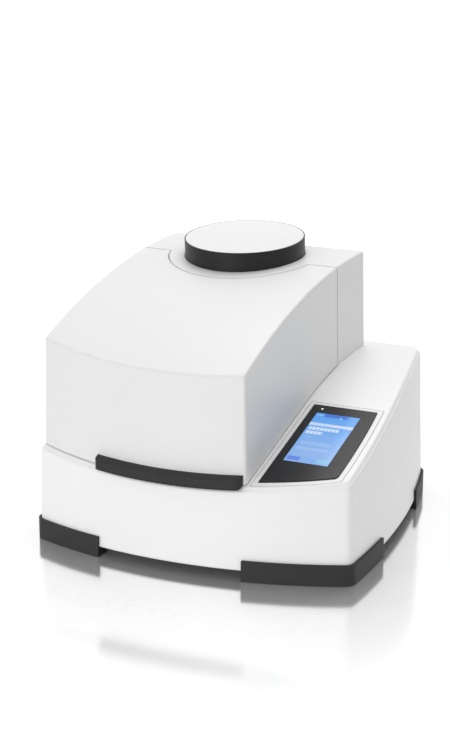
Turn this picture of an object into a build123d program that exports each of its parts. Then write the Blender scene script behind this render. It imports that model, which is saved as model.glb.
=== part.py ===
from build123d import *
from math import asin, atan, cos, degrees, radians, sin, sqrt
import os

# High energy ball mill: a bench instrument with two grinding stations under a lifting hood.
# Millimetres. X runs to the right, Y to the back, Z up. The origin is on the bench, midway under
# the plan of the feet. The front, the sides and the back are all gently bowed in plan.

os.makedirs("parts", exist_ok=True)

# Overall size, measured over the feet and up to the crown of the round cap
WIDTH = 625.0
DEPTH = 645.0
HEIGHT = 519.2

# Plan outline of the feet line: four large arcs and rounded corners
FRONT_RADIUS = 780.0
FRONT_CROWN_X = -29.0
RIGHT_RADIUS = 1763.0
LEFT_RADIUS = 40000.0
REAR_RADIUS = 2940.0
WIDEST_Y = -183.0
FRONT_CORNER_R = 24.0
REAR_CORNER_R = 40.0
CORNER_LEAST = 1.0

# Base housing: a drafted shell whose top ramps up from the front and levels out at the back
BODY_FOOT_Z = 19.5
BODY_SETBACK = 5.0
BODY_DRAFT = 1.7
BASE_WALL = 4.0
BASE_EDGE = 7.0
RAMP_SLOPE = 0.292
RAMP_END_Y = -20.0
LEVEL_REAR_INSET = 72.5
LEVEL_Z = 289.5

# Feet that clip over the lower edge of the base
FOOT_TOP_Z = 39.0
FOOT_PAD_WIDTH = 34.0
FOOT_LEFT_REACH = 154.5
FOOT_RIGHT_REACH = 187.5
FOOT_FRONT_REACH = 231.5
FOOT_REAR_REACH = 148.5
BOTTOM_PLATE = 4.0

# Hood and rear tower: one drafted body under a cylindrical roof, parted by a seam across it
HOOD_FOOT_Z = 150.0
HOOD_WIDTH = 424.0
HOOD_SIDE_INSET = 16.0
HOOD_SETBACK = 15.5
HOOD_DRAFT = 1.26
HOOD_WALL = 5.0
HOOD_CORNER_R = 9.0
HOOD_EDGE = 2.0
HOOD_LIFT = 2.0
ROOF_RADIUS = 1310.0
ROOF_CREST_INSET = 90.5
ROOF_CREST_DROP = 40.7
SEAM_INSET = 192.0
SEAM_GAP = 2.0
TOWER_REAR_INSET = 44.5
TOWER_CORNER_R = 14.0
LIP_INSET = 16.0

# Round cap on its boss, leaning forward a little more than the roof
CAP_BACK = 30.0
CAP_TILT = 4.28
CAP_SET = 2.0
CAP_R = 116.5
CAP_BAND = 36.0
CAP_SINK = 6.0
CAP_DOME = 5.0
CAP_RIM = 2.1
BOSS_R = 147.5
BOSS_DEPTH = 26.0
BOSS_RECESS_GAP = 0.6
NOTCH_GAP = 1.5

# Handle bar along the lower front edge of the hood
HANDLE_LEFT_REACH = 79.5
HANDLE_RIGHT_REACH = 206.5
HANDLE_DEPTH = 15.5
HANDLE_HEIGHT = 17.5
HANDLE_LIFT = 2.5
HANDLE_END_R = 10.0

# Display on the ramp beside the hood
PANEL_GAP = 15.5
PANEL_TOP_Y = -25.0
PANEL_FRONT_INSET = 29.0
PANEL_SIDE_INSET = 38.5
PANEL_BORDER = 9.5
PANEL_SEAM = 0.8
PANEL_THICK = 5.0
PANEL_LEDGE = 4.0
PANEL_LEDGE_WIDTH = 4.0
BEZEL_PROUD = 2.0
BEZEL_SINK = 3.0
BEZEL_CORNER = 4.0
SCREEN_LEFT_MARGIN = 16.0
SCREEN_SIDE_INSET = 69.1
SCREEN_TOP_MARGIN = 25.0
SCREEN_DEPTH = 153.0
SCREEN_THICK = 1.0
LAMP_LEFT_MARGIN = 20.8
LAMP_TOP_MARGIN = 12.0
LAMP_R = 1.8
BOARD_DROP = 16.0
BOARD_THICK = 1.6
BOARD_POST = 6.0
BOARD_MARGIN = 10.0

# Drive: two stations side by side, each carried by a driven crank and an idler crank
STATION_PITCH = 190.0
STATION_FRONT_INSET = 247.5
IDLER_PITCH = 92.0
THROW = 16.0
SHAFT_R = 15.0
PIN_R = 12.0
IDLER_SHAFT_R = 11.0
IDLER_PIN_R = 8.0
RUNNING_FIT = 0.06
CLEARANCE = 0.3
WEB_THICK = 12.0
WEB_Z = 120.0
WEB_SHELL = 5.0
COUNTERWEIGHT_R = 56.0
COUNTERWEIGHT_FACETS = 16

# Drive frame plate with its bearing housings, standing on rubber mounts
FRAME_Z = 78.0
FRAME_THICK = 14.0
FRAME_MARGIN = 70.0
FRAME_REAR_MARGIN = 50.0
HOUSING_WALL = 17.0
IDLER_HOUSING_WALL = 14.0
HOUSING_LOW_Z = 66.0
HOUSING_HIGH_Z = 117.0
MOUNT_R = 19.0
MOUNT_INSET = 22.0
BOLT_HEAD_R = 9.0
BOLT_HEAD = 6.0

# Belt drive
BELT_Z = 46.0
BELT_WIDTH = 14.0
BELT_THICK = 4.0
DRIVE_PULLEY_R = 20.0
DRIVE_PULLEY_TEETH = 20
PULLEY_RIM = 2.0
DRIVE_RATIO = 2

# Motor on its bracket behind the chamber
MOTOR_BACK = 61.5
MOTOR_SIZE = 108.0
MOTOR_CHAMFER = 20.0
MOTOR_LENGTH = 150.0
MOTOR_SHAFT_R = 9.0
MOTOR_FLANGE = 10.0
BRACKET_THICK = 10.0
BRACKET_WIDTH = 140.0

# Chamber tray
TRAY_FLOOR_Z = 150.0
TRAY_WALL = 1.5
TRAY_UPSTAND = 10.0
SEAL_WIDTH = 6.0
SEAL_HEIGHT = 8.0

# Jar holders, jars and lids
HUB_R = 27.0
IDLER_HUB_R = 18.0
HUB_GAP = 3.0
HUB_LOW_Z = 137.0
CARRIER_Z = 155.0
CARRIER_THICK = 12.0
HOLDER_SIDE = 124.0
HOLDER_CHAMFER = 20.0
HOLDER_HEIGHT = 66.0
HOLDER_FLOOR = 6.0
JAR_R = 45.0
JAR_BORE_R = 33.0
JAR_HEIGHT = 92.0
JAR_FLOOR = 11.0
LID_HEIGHT = 16.0
LID_SPIGOT = 5.0
LID_GRIP_WIDTH = 16.0
LID_GRIP_HEIGHT = 12.0
JAR_LIFT = 75.0
LEVER_OFFSET = 31.0
LEVER_LENGTH = 62.0
LEVER_THICK = 12.0
LEVER_HEIGHT = 14.0
LEVER_PIN_R = 4.0
LEVER_EAR = 8.0

# Hood hinges: goose-neck arms that reach under the edge of the tower's roof
HINGE_BACK = 36.0
HINGE_DROP = 10.0
HINGE_INSET = 38.0
ARM_THICK = 10.0
NECK_FACETS = 4
NECK_INNER_R = 40.0
NECK_OUTER_R = 50.0
NECK_START = 171.0
NECK_SWEEP = 108.0
ARM_EYE_R = 6.5
ARM_FOOT = 44.0
ARM_FOOT_DROP = 9.0
HINGE_PIN_R = 3.5
ARM_ROOT = 1.0
CHEEK_THICK = 6.0
CHEEK_GAP = 0.5
CHEEK_DROP = 12.0
SLOT_TOP = -2.0
SLOT_BOTTOM = -50.0
SLOT_SIDE = 1.5

# Hood latch: a bolt that rises through the lip into a block on the hood
LATCH_LIP_INSET = 10.5
LATCH_BOLT_R = 3.0
LATCH_BOLT_SINK = 1.0
LATCH_BOLT_LENGTH = 56.0
LATCH_BODY_WIDTH = 28.0
LATCH_BODY_DEPTH = 9.0
LATCH_BODY_HEIGHT = 36.0
LATCH_BLOCK_WIDTH = 28.0
LATCH_BLOCK_DEPTH = 9.0
LATCH_BLOCK_LIFT = 3.0
LATCH_BLOCK_HEIGHT = 20.0
LATCH_BORE = 9.2

# Cooling circuit and electrics at the back and the right
TANK_SIDE_INSET = 122.5
TANK_REAR_INSET = 116.5
TANK_WIDTH = 68.0
TANK_DEPTH = 120.0
TANK_HEIGHT = 170.0
TANK_CHAMFER = 10.0
TANK_NECK_R = 16.0
TANK_NECK = 16.0
PUMP_SIDE_INSET = 194.5
PUMP_REAR_INSET = 44.5
PUMP_R = 20.0
PUMP_HEIGHT = 46.0
PUMP_PORT_R = 7.0
PUMP_PORT = 20.0
RADIATOR_SIDE_INSET = 250.5
RADIATOR_Z = 158.0
RADIATOR_WIDTH = 150.0
RADIATOR_LEG = 10.0
RADIATOR_THICK = 20.0
RADIATOR_REAR_INSET = 20.5
RADIATOR_SLOTS = 9
RADIATOR_SLOT_HEIGHT = 5.5
SHROUD_THICK = 22.0
FAN_R = 64.0
FAN_HUB_R = 20.0
FAN_BLADES = 7
FAN_BLADE_THICK = 2.0
FAN_BLADE_ANGLE = 35.0
FAN_DEPTH = 14.0
VENT_WIDTH = 140.0
VENT_BORDER = 10.0
VENT_SINK = 0.5
VENT_SLOTS = 9
VENT_SLOT_HEIGHT = 6.0
POWER_SIDE_INSET = 104.5
POWER_Y = -60.0
POWER_WIDTH = 110.0
POWER_DEPTH = 230.0
POWER_HEIGHT = 80.0
POWER_FINS = 8
POWER_FIN_THICK = 3.0
POWER_FIN_HEIGHT = 10.0
INLET_SIDE_INSET = 122.5
INLET_Z = 92.0
INLET_WIDTH = 32.0
INLET_HEIGHT = 62.0
INLET_DEPTH = 30.0
INLET_PROUD = 0.5
SOCKET_WIDTH = 24.0
SOCKET_HEIGHT = 16.5
SOCKET_DEPTH = 18.0
SOCKET_PIN = 2.0
SOCKET_PIN_HEIGHT = 4.0
SOCKET_PIN_LENGTH = 12.0
SOCKET_PIN_PITCH = 7.0
ROCKER_WIDTH = 16.0
ROCKER_HEIGHT = 22.0
ROCKER_DEPTH = 5.5
ROCKER_LIP = 2.0
ROCKER_TILT = 8.0

# Values that follow from the sizes above
RAMP_ANGLE = degrees(atan(RAMP_SLOPE))
LEVEL_Y = DEPTH / 2 - LEVEL_REAR_INSET
LEVEL_RADIUS = (LEVEL_Y - RAMP_END_Y) / sin(radians(RAMP_ANGLE))
FRONT_CENTRE = (FRONT_CROWN_X, FRONT_RADIUS - DEPTH / 2)
FOOT_LEFT_END_X = FOOT_LEFT_REACH - WIDTH / 2
FOOT_RIGHT_END_X = WIDTH / 2 - FOOT_RIGHT_REACH
FOOT_FRONT_END_Y = FOOT_FRONT_REACH - DEPTH / 2
FOOT_REAR_END_Y = DEPTH / 2 - FOOT_REAR_REACH
REAR_CROWN_Y = DEPTH / 2 + FOOT_RIGHT_END_X ** 2 / (2 * REAR_RADIUS)
ROOF_CREST_Y = DEPTH / 2 - ROOF_CREST_INSET
ROOF_CENTRE = (ROOF_CREST_Y, HEIGHT - ROOF_CREST_DROP - ROOF_RADIUS)
SEAM_Y = DEPTH / 2 - SEAM_INSET
TOWER_REAR_Y = DEPTH / 2 - TOWER_REAR_INSET
CAP_Y = SEAM_Y + CAP_BACK
HOOD_LEFT = HOOD_SIDE_INSET - WIDTH / 2
HOOD_RIGHT = HOOD_LEFT + HOOD_WIDTH
HOOD_MID_X = (HOOD_LEFT + HOOD_RIGHT) / 2
HANDLE_LEFT_X = HOOD_MID_X - HANDLE_LEFT_REACH
HANDLE_RIGHT_X = HOOD_MID_X + HANDLE_RIGHT_REACH
LATCH_X = HOOD_MID_X
PANEL_LEFT_X = HOOD_RIGHT + PANEL_GAP
SCREEN_LEFT_X = PANEL_LEFT_X + SCREEN_LEFT_MARGIN
SCREEN_RIGHT_X = WIDTH / 2 - SCREEN_SIDE_INSET
SCREEN_TOP_Y = PANEL_TOP_Y - SCREEN_TOP_MARGIN
LAMP_X = PANEL_LEFT_X + LAMP_LEFT_MARGIN
LAMP_Y = PANEL_TOP_Y - LAMP_TOP_MARGIN
STATION_Y = STATION_FRONT_INSET - DEPTH / 2
STATION_XS = (HOOD_MID_X - STATION_PITCH / 2, HOOD_MID_X + STATION_PITCH / 2)
STATION_SIDES = ("left", "right")
STATION_TURNS = (-1, 1)
IDLER_Y = STATION_Y + IDLER_PITCH
MOTOR_X = HOOD_MID_X
MOTOR_Y = SEAM_Y + MOTOR_BACK
TANK_X = TANK_SIDE_INSET - WIDTH / 2
TANK_Y = DEPTH / 2 - TANK_REAR_INSET
PUMP_X = PUMP_SIDE_INSET - WIDTH / 2
PUMP_Y = DEPTH / 2 - PUMP_REAR_INSET
RADIATOR_X = WIDTH / 2 - RADIATOR_SIDE_INSET
RADIATOR_REAR_Y = DEPTH / 2 - RADIATOR_REAR_INSET
POWER_X = WIDTH / 2 - POWER_SIDE_INSET
INLET_X = WIDTH / 2 - INLET_SIDE_INSET
PLATE_TOP_Z = BODY_FOOT_Z + BOTTOM_PLATE
TOWER_FRONT_Y = SEAM_Y + SEAM_GAP / 2
HOOD_REAR_Y = SEAM_Y - SEAM_GAP / 2
WEB_TOP_Z = WEB_Z + WEB_THICK
CARRIER_TOP_Z = CARRIER_Z + CARRIER_THICK
HOLDER_TOP_Z = CARRIER_TOP_Z + HOLDER_HEIGHT
FLOOR_HOLE_R = HUB_R + THROW + HUB_GAP
IDLER_HOLE_R = IDLER_HUB_R + THROW + HUB_GAP
CARRIER_LENGTH = HOLDER_SIDE / 2 + IDLER_PITCH + IDLER_HOLE_R + THROW
JAR_Z = CARRIER_TOP_Z + HOLDER_FLOOR + CLEARANCE
JAR_TOP_Z = JAR_Z + JAR_HEIGHT
LID_Z = JAR_TOP_Z + CLEARANCE


def arc_fall(radius, distance):
    """How far an arc falls back from its crown at this distance to the side."""
    return radius - sqrt(radius ** 2 - distance ** 2)


def front_y(x, inset=0.0):
    """Y of the bowed front line at x, set back by inset."""
    return FRONT_CENTRE[1] - sqrt((FRONT_RADIUS - inset) ** 2 - (x - FRONT_CROWN_X) ** 2)


def ramp_z(y):
    """Height of the straight ramp of the base's top at y."""
    return LEVEL_Z - arc_fall(LEVEL_RADIUS, LEVEL_Y - RAMP_END_Y) + RAMP_SLOPE * (y - RAMP_END_Y)


def roof_z(y, inset=0.0):
    """Height of the roof over hood and tower at y, inset below the outer face."""
    return ROOF_CENTRE[1] + sqrt((ROOF_RADIUS - inset) ** 2 - (y - ROOF_CENTRE[0]) ** 2)


def plan_outline(inset, corner=fillet):
    """Plan of the whole instrument, drawn in from the feet line by inset."""
    with BuildSketch(mode=Mode.PRIVATE) as plan:
        with Locations(FRONT_CENTRE):
            Circle(FRONT_RADIUS - inset)
        with Locations((0, REAR_CROWN_Y - REAR_RADIUS)):
            Circle(REAR_RADIUS - inset, mode=Mode.INTERSECT)
        for side, radius in ((-1, LEFT_RADIUS), (1, RIGHT_RADIUS)):
            with Locations((side * (WIDTH / 2 - radius), WIDEST_Y)):
                Circle(radius - inset, mode=Mode.INTERSECT)
        front = plan.vertices().filter_by(lambda v: v.Y < 0)
        corner(front, max(FRONT_CORNER_R - inset, CORNER_LEAST))
        rear = plan.vertices().group_by(Axis.Y)[-1]
        corner(rear, max(REAR_CORNER_R - inset, CORNER_LEAST))
    return plan.sketch


def hood_plan(inset, corner=fillet):
    """Plan of hood and tower together at the foot of the hood, drawn in by inset."""
    with BuildSketch(mode=Mode.PRIVATE) as plan:
        with Locations(FRONT_CENTRE):
            Circle(FRONT_RADIUS - HOOD_SETBACK - inset)
        with Locations((HOOD_MID_X, TOWER_REAR_Y - inset)):
            Rectangle(
                HOOD_WIDTH - 2 * inset, DEPTH, align=(Align.CENTER, Align.MAX), mode=Mode.INTERSECT
            )
        front = plan.vertices().filter_by(lambda v: v.Y < 0)
        corner(front, max(HOOD_CORNER_R - inset, CORNER_LEAST))
        rear = plan.vertices().group_by(Axis.Y)[-1]
        corner(rear, max(TOWER_CORNER_R - inset, CORNER_LEAST))
    return plan.sketch


def under_shoulder(drop):
    """Everything below the base's top face when that face is lowered by drop."""
    with BuildPart(mode=Mode.PRIVATE) as block:
        with BuildSketch(Plane.YZ.offset(-WIDTH)):
            with BuildLine():
                level = CenterArc(
                    (LEVEL_Y, LEVEL_Z - LEVEL_RADIUS), LEVEL_RADIUS - drop, 90, RAMP_ANGLE
                )
                ramp = PolarLine(level @ 1, DEPTH, 180 + RAMP_ANGLE)
                rear = Line(level @ 0, (DEPTH, LEVEL_Z - drop))
                Polyline(rear @ 1, (DEPTH, -HEIGHT), ((ramp @ 1).X, -HEIGHT), ramp @ 1)
            make_face()
        extrude(amount=2 * WIDTH)
    return block.part


def base_block(inset, drop, corner=fillet):
    """The base as a drafted block under its ramp."""
    with BuildPart(mode=Mode.PRIVATE) as block:
        with BuildSketch(Plane.XY.offset(BODY_FOOT_Z)):
            add(plan_outline(BODY_SETBACK + inset, corner))
        extrude(amount=LEVEL_Z, taper=BODY_DRAFT)
        add(under_shoulder(drop), mode=Mode.INTERSECT)
    return block.part


def hood_block(inset, corner=fillet):
    """Hood and tower together as one drafted block under the roof."""
    with BuildPart(mode=Mode.PRIVATE) as block:
        with BuildSketch(Plane.XY.offset(HOOD_FOOT_Z)):
            add(hood_plan(inset, corner))
        extrude(amount=HEIGHT, taper=HOOD_DRAFT)
        with BuildSketch(Plane.YZ.offset(-WIDTH)):
            with Locations(ROOF_CENTRE):
                Circle(ROOF_RADIUS - inset)
        extrude(amount=2 * WIDTH, mode=Mode.INTERSECT)
    return block.part


def slab(x_from=-WIDTH, x_to=WIDTH, y_from=-DEPTH, y_to=DEPTH, z_from=-HEIGHT, z_to=2 * HEIGHT):
    """A plain block between these limits, open-ended where none is given."""
    with BuildPart(mode=Mode.PRIVATE) as block:
        with BuildSketch(Plane.XY.offset(z_from)):
            with Locations(((x_from + x_to) / 2, (y_from + y_to) / 2)):
                Rectangle(x_to - x_from, y_to - y_from)
        extrude(amount=z_to - z_from)
    return block.part


def prism(sketch, z_from, z_to):
    """A plan outline extruded between two heights."""
    with BuildPart(mode=Mode.PRIVATE) as block:
        with BuildSketch(Plane.XY.offset(z_from)):
            add(sketch)
        extrude(amount=z_to - z_from)
    return block.part


def finish(piece, name):
    """Label a finished piece and write it out."""
    piece.part.label = name
    export_step(piece.part, f"parts/{name}.step")


# Plane of the round cap, its origin just below the roof
CAP_Z = roof_z(CAP_Y) - CAP_SET
CAP_NORMAL = (0, -sin(radians(CAP_TILT)), cos(radians(CAP_TILT)))
CAP_PLANE = Plane(origin=(HOOD_MID_X, CAP_Y, CAP_Z), x_dir=(1, 0, 0), z_dir=CAP_NORMAL)
DOME_R = (CAP_R ** 2 + CAP_DOME ** 2) / (2 * CAP_DOME)
CAP_APEX = (HEIGHT - CAP_Z - DOME_R * (1 - cos(radians(CAP_TILT)))) / cos(radians(CAP_TILT))


def cap_cylinder(radius, h_from, h_to):
    """A cylinder on the axis of the round cap, between two heights over its plane."""
    with BuildPart(mode=Mode.PRIVATE) as block:
        with BuildSketch(CAP_PLANE.offset(h_from)):
            Circle(radius)
        extrude(amount=h_to - h_from)
    return block.part


def panel_outline(border):
    """Plan of the display panel, grown by border: it follows the front and the side of the base."""
    with BuildSketch(mode=Mode.PRIVATE) as plan:
        with Locations(FRONT_CENTRE):
            Circle(FRONT_RADIUS - PANEL_FRONT_INSET + border)
        with Locations((WIDTH / 2 - RIGHT_RADIUS, WIDEST_Y)):
            Circle(RIGHT_RADIUS - PANEL_SIDE_INSET + border, mode=Mode.INTERSECT)
        with Locations((PANEL_LEFT_X - border, PANEL_TOP_Y + border)):
            Rectangle(WIDTH, DEPTH, align=(Align.MIN, Align.MAX), mode=Mode.INTERSECT)
        corner = plan.vertices().filter_by(lambda v: v.Y < PANEL_TOP_Y).sort_by(Axis.X)[-1]
        chamfer(corner, BEZEL_CORNER)
    return plan.sketch


# Base housing: a moulded white shell, open underneath, with a lip round the chamber opening,
# a ledge for the display panel, a window for the rear vent and one for the mains inlet
def rear_wall_y(x):
    """Outer face of the base's rear wall at x, at the foot of the base."""
    return REAR_CROWN_Y - REAR_RADIUS + sqrt((REAR_RADIUS - BODY_SETBACK) ** 2 - x ** 2)


VENT_X = RADIATOR_X
VENT_BOX = (
    VENT_X - VENT_WIDTH / 2,
    VENT_X + VENT_WIDTH / 2,
    RADIATOR_Z - VENT_WIDTH / 2,
    RADIATOR_Z + VENT_WIDTH / 2,
)
INLET_FACE_Y = rear_wall_y(INLET_X) + INLET_PROUD

with BuildPart() as base_housing:
    add(base_block(0, 0))
    top = base_housing.faces().filter_by(lambda f: f.normal_at(f.center()).Z > 0.9)
    rim = [e for e in top.edges() if abs(e.tangent_at(0.5).X) < 0.999 or e.geom_type != GeomType.LINE]
    chamfer(rim, BASE_EDGE)
    add(base_block(BASE_WALL, BASE_WALL, chamfer), mode=Mode.SUBTRACT)
    ledge = prism(panel_outline(PANEL_BORDER + PANEL_LEDGE_WIDTH), BODY_FOOT_Z, HEIGHT)
    ledge = ledge & under_shoulder(BASE_WALL) & base_block(BASE_WALL / 2, 0)
    add(ledge - under_shoulder(PANEL_THICK + PANEL_LEDGE))
    seat = prism(panel_outline(PANEL_BORDER + PANEL_SEAM), BODY_FOOT_Z, HEIGHT)
    add(seat - under_shoulder(PANEL_THICK), mode=Mode.SUBTRACT)
    add(prism(panel_outline(PANEL_BORDER - PANEL_LEDGE_WIDTH), BODY_FOOT_Z, HEIGHT), mode=Mode.SUBTRACT)
    add(prism(hood_plan(LIP_INSET), PLATE_TOP_Z, HEIGHT), mode=Mode.SUBTRACT)
    add(
        slab(VENT_BOX[0], VENT_BOX[1], LEVEL_Y, DEPTH, VENT_BOX[2], VENT_BOX[3]),
        mode=Mode.SUBTRACT,
    )
    add(
        slab(
            INLET_X - INLET_WIDTH / 2 - CLEARANCE,
            INLET_X + INLET_WIDTH / 2 + CLEARANCE,
            LEVEL_Y,
            DEPTH,
            INLET_Z - INLET_HEIGHT / 2 - CLEARANCE,
            INLET_Z + INLET_HEIGHT / 2 + CLEARANCE,
        ),
        mode=Mode.SUBTRACT,
    )
    with Locations((LATCH_X, front_y(LATCH_X, HOOD_SETBACK + LATCH_LIP_INSET), BODY_FOOT_Z)):
        Cylinder(
            LATCH_BOLT_R + CLEARANCE,
            HEIGHT,
            align=(Align.CENTER, Align.CENTER, Align.MIN),
            mode=Mode.SUBTRACT,
        )
finish(base_housing, "base_housing")

# Bottom plate: steel sheet that closes the base and carries the drive
with BuildPart() as bottom_plate:
    with BuildSketch(Plane.XY.offset(BODY_FOOT_Z)):
        add(plan_outline(BODY_SETBACK + BASE_WALL + CLEARANCE, chamfer))
    extrude(amount=BOTTOM_PLATE)
finish(bottom_plate, "bottom_plate")

# Four moulded feet, each wrapped round a corner and clipped over the edge of the base
FOOT_REGIONS = {
    "foot_front_left": slab(x_to=FOOT_LEFT_END_X, y_to=FOOT_FRONT_END_Y),
    "foot_front_right": slab(x_from=FOOT_RIGHT_END_X, y_to=FOOT_FRONT_END_Y),
    "foot_rear_left": slab(x_to=FOOT_LEFT_END_X, y_from=FOOT_REAR_END_Y),
    "foot_rear_right": slab(x_from=FOOT_RIGHT_END_X, y_from=FOOT_REAR_END_Y),
}
for name, region in FOOT_REGIONS.items():
    with BuildPart() as foot:
        add(prism(plan_outline(0), 0, FOOT_TOP_Z))
        add(prism(plan_outline(BODY_SETBACK), BODY_FOOT_Z, FOOT_TOP_Z), mode=Mode.SUBTRACT)
        add(prism(plan_outline(FOOT_PAD_WIDTH, chamfer), 0, BODY_FOOT_Z), mode=Mode.SUBTRACT)
        add(region, mode=Mode.INTERSECT)
    finish(foot, name)

# Hood: moulded shell with bowed front, arched roof and a half-round notch for the boss
HINGE_Y = TOWER_FRONT_Y + HINGE_BACK
HINGE_Z = roof_z(SEAM_Y) - HINGE_DROP
HINGE_XS = (HOOD_LEFT + HINGE_INSET, HOOD_RIGHT - HINGE_INSET)

with BuildPart(mode=Mode.PRIVATE) as hood_skin:
    add(hood_block(0))
    roof_face = hood_skin.faces().sort_by(Axis.Z)[-1]
    chamfer(roof_face.edges(), HOOD_EDGE)

with BuildPart() as hood:
    add(hood_skin.part)
    add(hood_block(HOOD_WALL, chamfer), mode=Mode.SUBTRACT)
    add(slab(y_from=HOOD_REAR_Y), mode=Mode.SUBTRACT)
    add(under_shoulder(-HOOD_LIFT), mode=Mode.SUBTRACT)
    add(cap_cylinder(BOSS_R + NOTCH_GAP, -2 * BOSS_DEPTH, BOSS_DEPTH), mode=Mode.SUBTRACT)
finish(hood, "hood")

# Rear tower: the fixed shell behind the seam, with the boss that carries the round cap
with BuildPart() as rear_tower:
    add(hood_skin.part)
    add(slab(y_to=TOWER_FRONT_Y), mode=Mode.SUBTRACT)
    hollow = hood_block(HOOD_WALL, chamfer) - slab(y_to=TOWER_FRONT_Y + HOOD_WALL)
    add(hollow, mode=Mode.SUBTRACT)
    boss = cap_cylinder(BOSS_R, -BOSS_DEPTH, BOSS_DEPTH) & hood_block(0)
    add(boss - slab(y_from=TOWER_FRONT_Y + HOOD_WALL))
    add(under_shoulder(0), mode=Mode.SUBTRACT)
    for x in HINGE_XS:
        half = ARM_THICK / 2 + SLOT_SIDE
        slot = slab(x - half, x + half, SEAM_Y, TOWER_FRONT_Y + HOOD_WALL, HINGE_Z + SLOT_BOTTOM,
                    HINGE_Z + SLOT_TOP)
        add(slot, mode=Mode.SUBTRACT)
    add(cap_cylinder(CAP_R + BOSS_RECESS_GAP, -CAP_SINK, BOSS_DEPTH), mode=Mode.SUBTRACT)
finish(rear_tower, "rear_tower")

# Round cap: a dark band and a white domed disc set on it
with BuildPart() as cap_ring:
    add(cap_cylinder(CAP_R, -CAP_SINK, CAP_BAND))
finish(cap_ring, "cap_ring")

with BuildPart() as cap_disc:
    add(cap_cylinder(CAP_R - CAP_RIM, CAP_BAND, CAP_APEX))
    with Locations(CAP_PLANE.offset(CAP_APEX - DOME_R)):
        Sphere(DOME_R, rotation=(90, 0, 0), mode=Mode.INTERSECT)
finish(cap_disc, "cap_disc")

# Handle bar: a dark moulding along the hood's lower front edge, raked with the ramp below it
with BuildPart() as hood_handle:
    with BuildSketch(Plane.XY.offset(BODY_FOOT_Z)) as bar:
        with Locations(FRONT_CENTRE):
            Circle(FRONT_RADIUS - HOOD_SETBACK + HANDLE_DEPTH)
        with Locations((HANDLE_LEFT_X, STATION_Y)):
            Rectangle(
                HANDLE_RIGHT_X - HANDLE_LEFT_X, DEPTH, align=(Align.MIN, Align.MAX), mode=Mode.INTERSECT
            )
        fillet(bar.vertices().sort_by(Axis.Y)[:2], HANDLE_END_R)
    extrude(amount=HEIGHT)
    add(under_shoulder(-HANDLE_LIFT - HANDLE_HEIGHT), mode=Mode.INTERSECT)
    add(under_shoulder(-HANDLE_LIFT), mode=Mode.SUBTRACT)
    add(hood_block(0), mode=Mode.SUBTRACT)
finish(hood_handle, "hood_handle")

# Goose-neck hinge arms: mitred necks that go under the edge of the tower's roof to their pins
def neck_point(radius, step):
    """Corner of the neck on this radius about the hinge, by its number along the neck."""
    turn = radians(NECK_START + NECK_SWEEP * step / NECK_FACETS)
    return (HINGE_Y + radius * cos(turn), HINGE_Z + radius * sin(turn))


NECK_OUTER = [neck_point(NECK_OUTER_R, step) for step in range(NECK_FACETS + 1)]
NECK_INNER = [neck_point(NECK_INNER_R, step) for step in reversed(range(NECK_FACETS + 1))]
with BuildPart() as hinge_arms:
    neck_mid = (NECK_INNER_R + NECK_OUTER_R) / 2
    for x in HINGE_XS:
        with BuildSketch(Plane.YZ.offset(x - ARM_THICK / 2)):
            with BuildLine():
                Polyline(*NECK_OUTER, *NECK_INNER, close=True)
            make_face()
            with Locations((HINGE_Y, HINGE_Z)):
                RegularPolygon(ARM_EYE_R, 8)
                Rectangle(2 * ARM_EYE_R, neck_mid, align=(Align.CENTER, Align.MAX))
            with Locations((HINGE_Y - NECK_INNER_R - ARM_ROOT, HINGE_Z)):
                Rectangle(ARM_FOOT, 2 * ARM_FOOT_DROP, align=(Align.MAX, Align.CENTER))
            with Locations((HINGE_Y, HINGE_Z)):
                Circle(HINGE_PIN_R + RUNNING_FIT, mode=Mode.SUBTRACT)
        extrude(amount=ARM_THICK)
    add(hood_block(HOOD_WALL, chamfer), mode=Mode.INTERSECT)
finish(hinge_arms, "hinge_arms")

# Hinge brackets: two steel cheeks for each arm on the tower's front wall, with the pin across them
with BuildPart() as hinge_brackets:
    wall_y = TOWER_FRONT_Y + HOOD_WALL
    for x in HINGE_XS:
        for side in (-1, 1):
            near = x + side * (ARM_THICK / 2 + CHEEK_GAP)
            with BuildSketch(Plane.YZ.offset(min(near, near + side * CHEEK_THICK))):
                with Locations((wall_y, HINGE_Z + HINGE_PIN_R)):
                    Rectangle(
                        HINGE_Y + ARM_EYE_R - wall_y,
                        HINGE_PIN_R + CHEEK_DROP,
                        align=(Align.MIN, Align.MAX),
                    )
            extrude(amount=CHEEK_THICK)
        with BuildSketch(Plane.YZ.offset(x - ARM_THICK / 2 - CHEEK_GAP)):
            with Locations((HINGE_Y, HINGE_Z)):
                Circle(HINGE_PIN_R)
        extrude(amount=ARM_THICK + 2 * CHEEK_GAP)
finish(hinge_brackets, "hinge_brackets")

# Hood latch: the bolt slides up through the lip of the base into a bored block on the hood
LATCH_Y = front_y(LATCH_X, HOOD_SETBACK + LATCH_LIP_INSET)
LATCH_Z = ramp_z(LATCH_Y)

with BuildPart() as latch_housing:
    with BuildSketch(Plane.XY.offset(LATCH_Z - BASE_WALL - LATCH_BODY_HEIGHT)):
        with Locations((LATCH_X, LATCH_Y)):
            Rectangle(LATCH_BODY_WIDTH, LATCH_BODY_DEPTH)
            Circle(LATCH_BOLT_R + RUNNING_FIT, mode=Mode.SUBTRACT)
    extrude(amount=LATCH_BODY_HEIGHT + BASE_WALL)
    add(under_shoulder(BASE_WALL), mode=Mode.INTERSECT)
finish(latch_housing, "latch_housing")

with BuildPart() as latch_bolt:
    with BuildSketch(Plane.XY.offset(LATCH_Z - LATCH_BOLT_SINK)):
        with Locations((LATCH_X, LATCH_Y)):
            Circle(LATCH_BOLT_R)
    extrude(amount=-LATCH_BOLT_LENGTH)
finish(latch_bolt, "latch_bolt")

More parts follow.
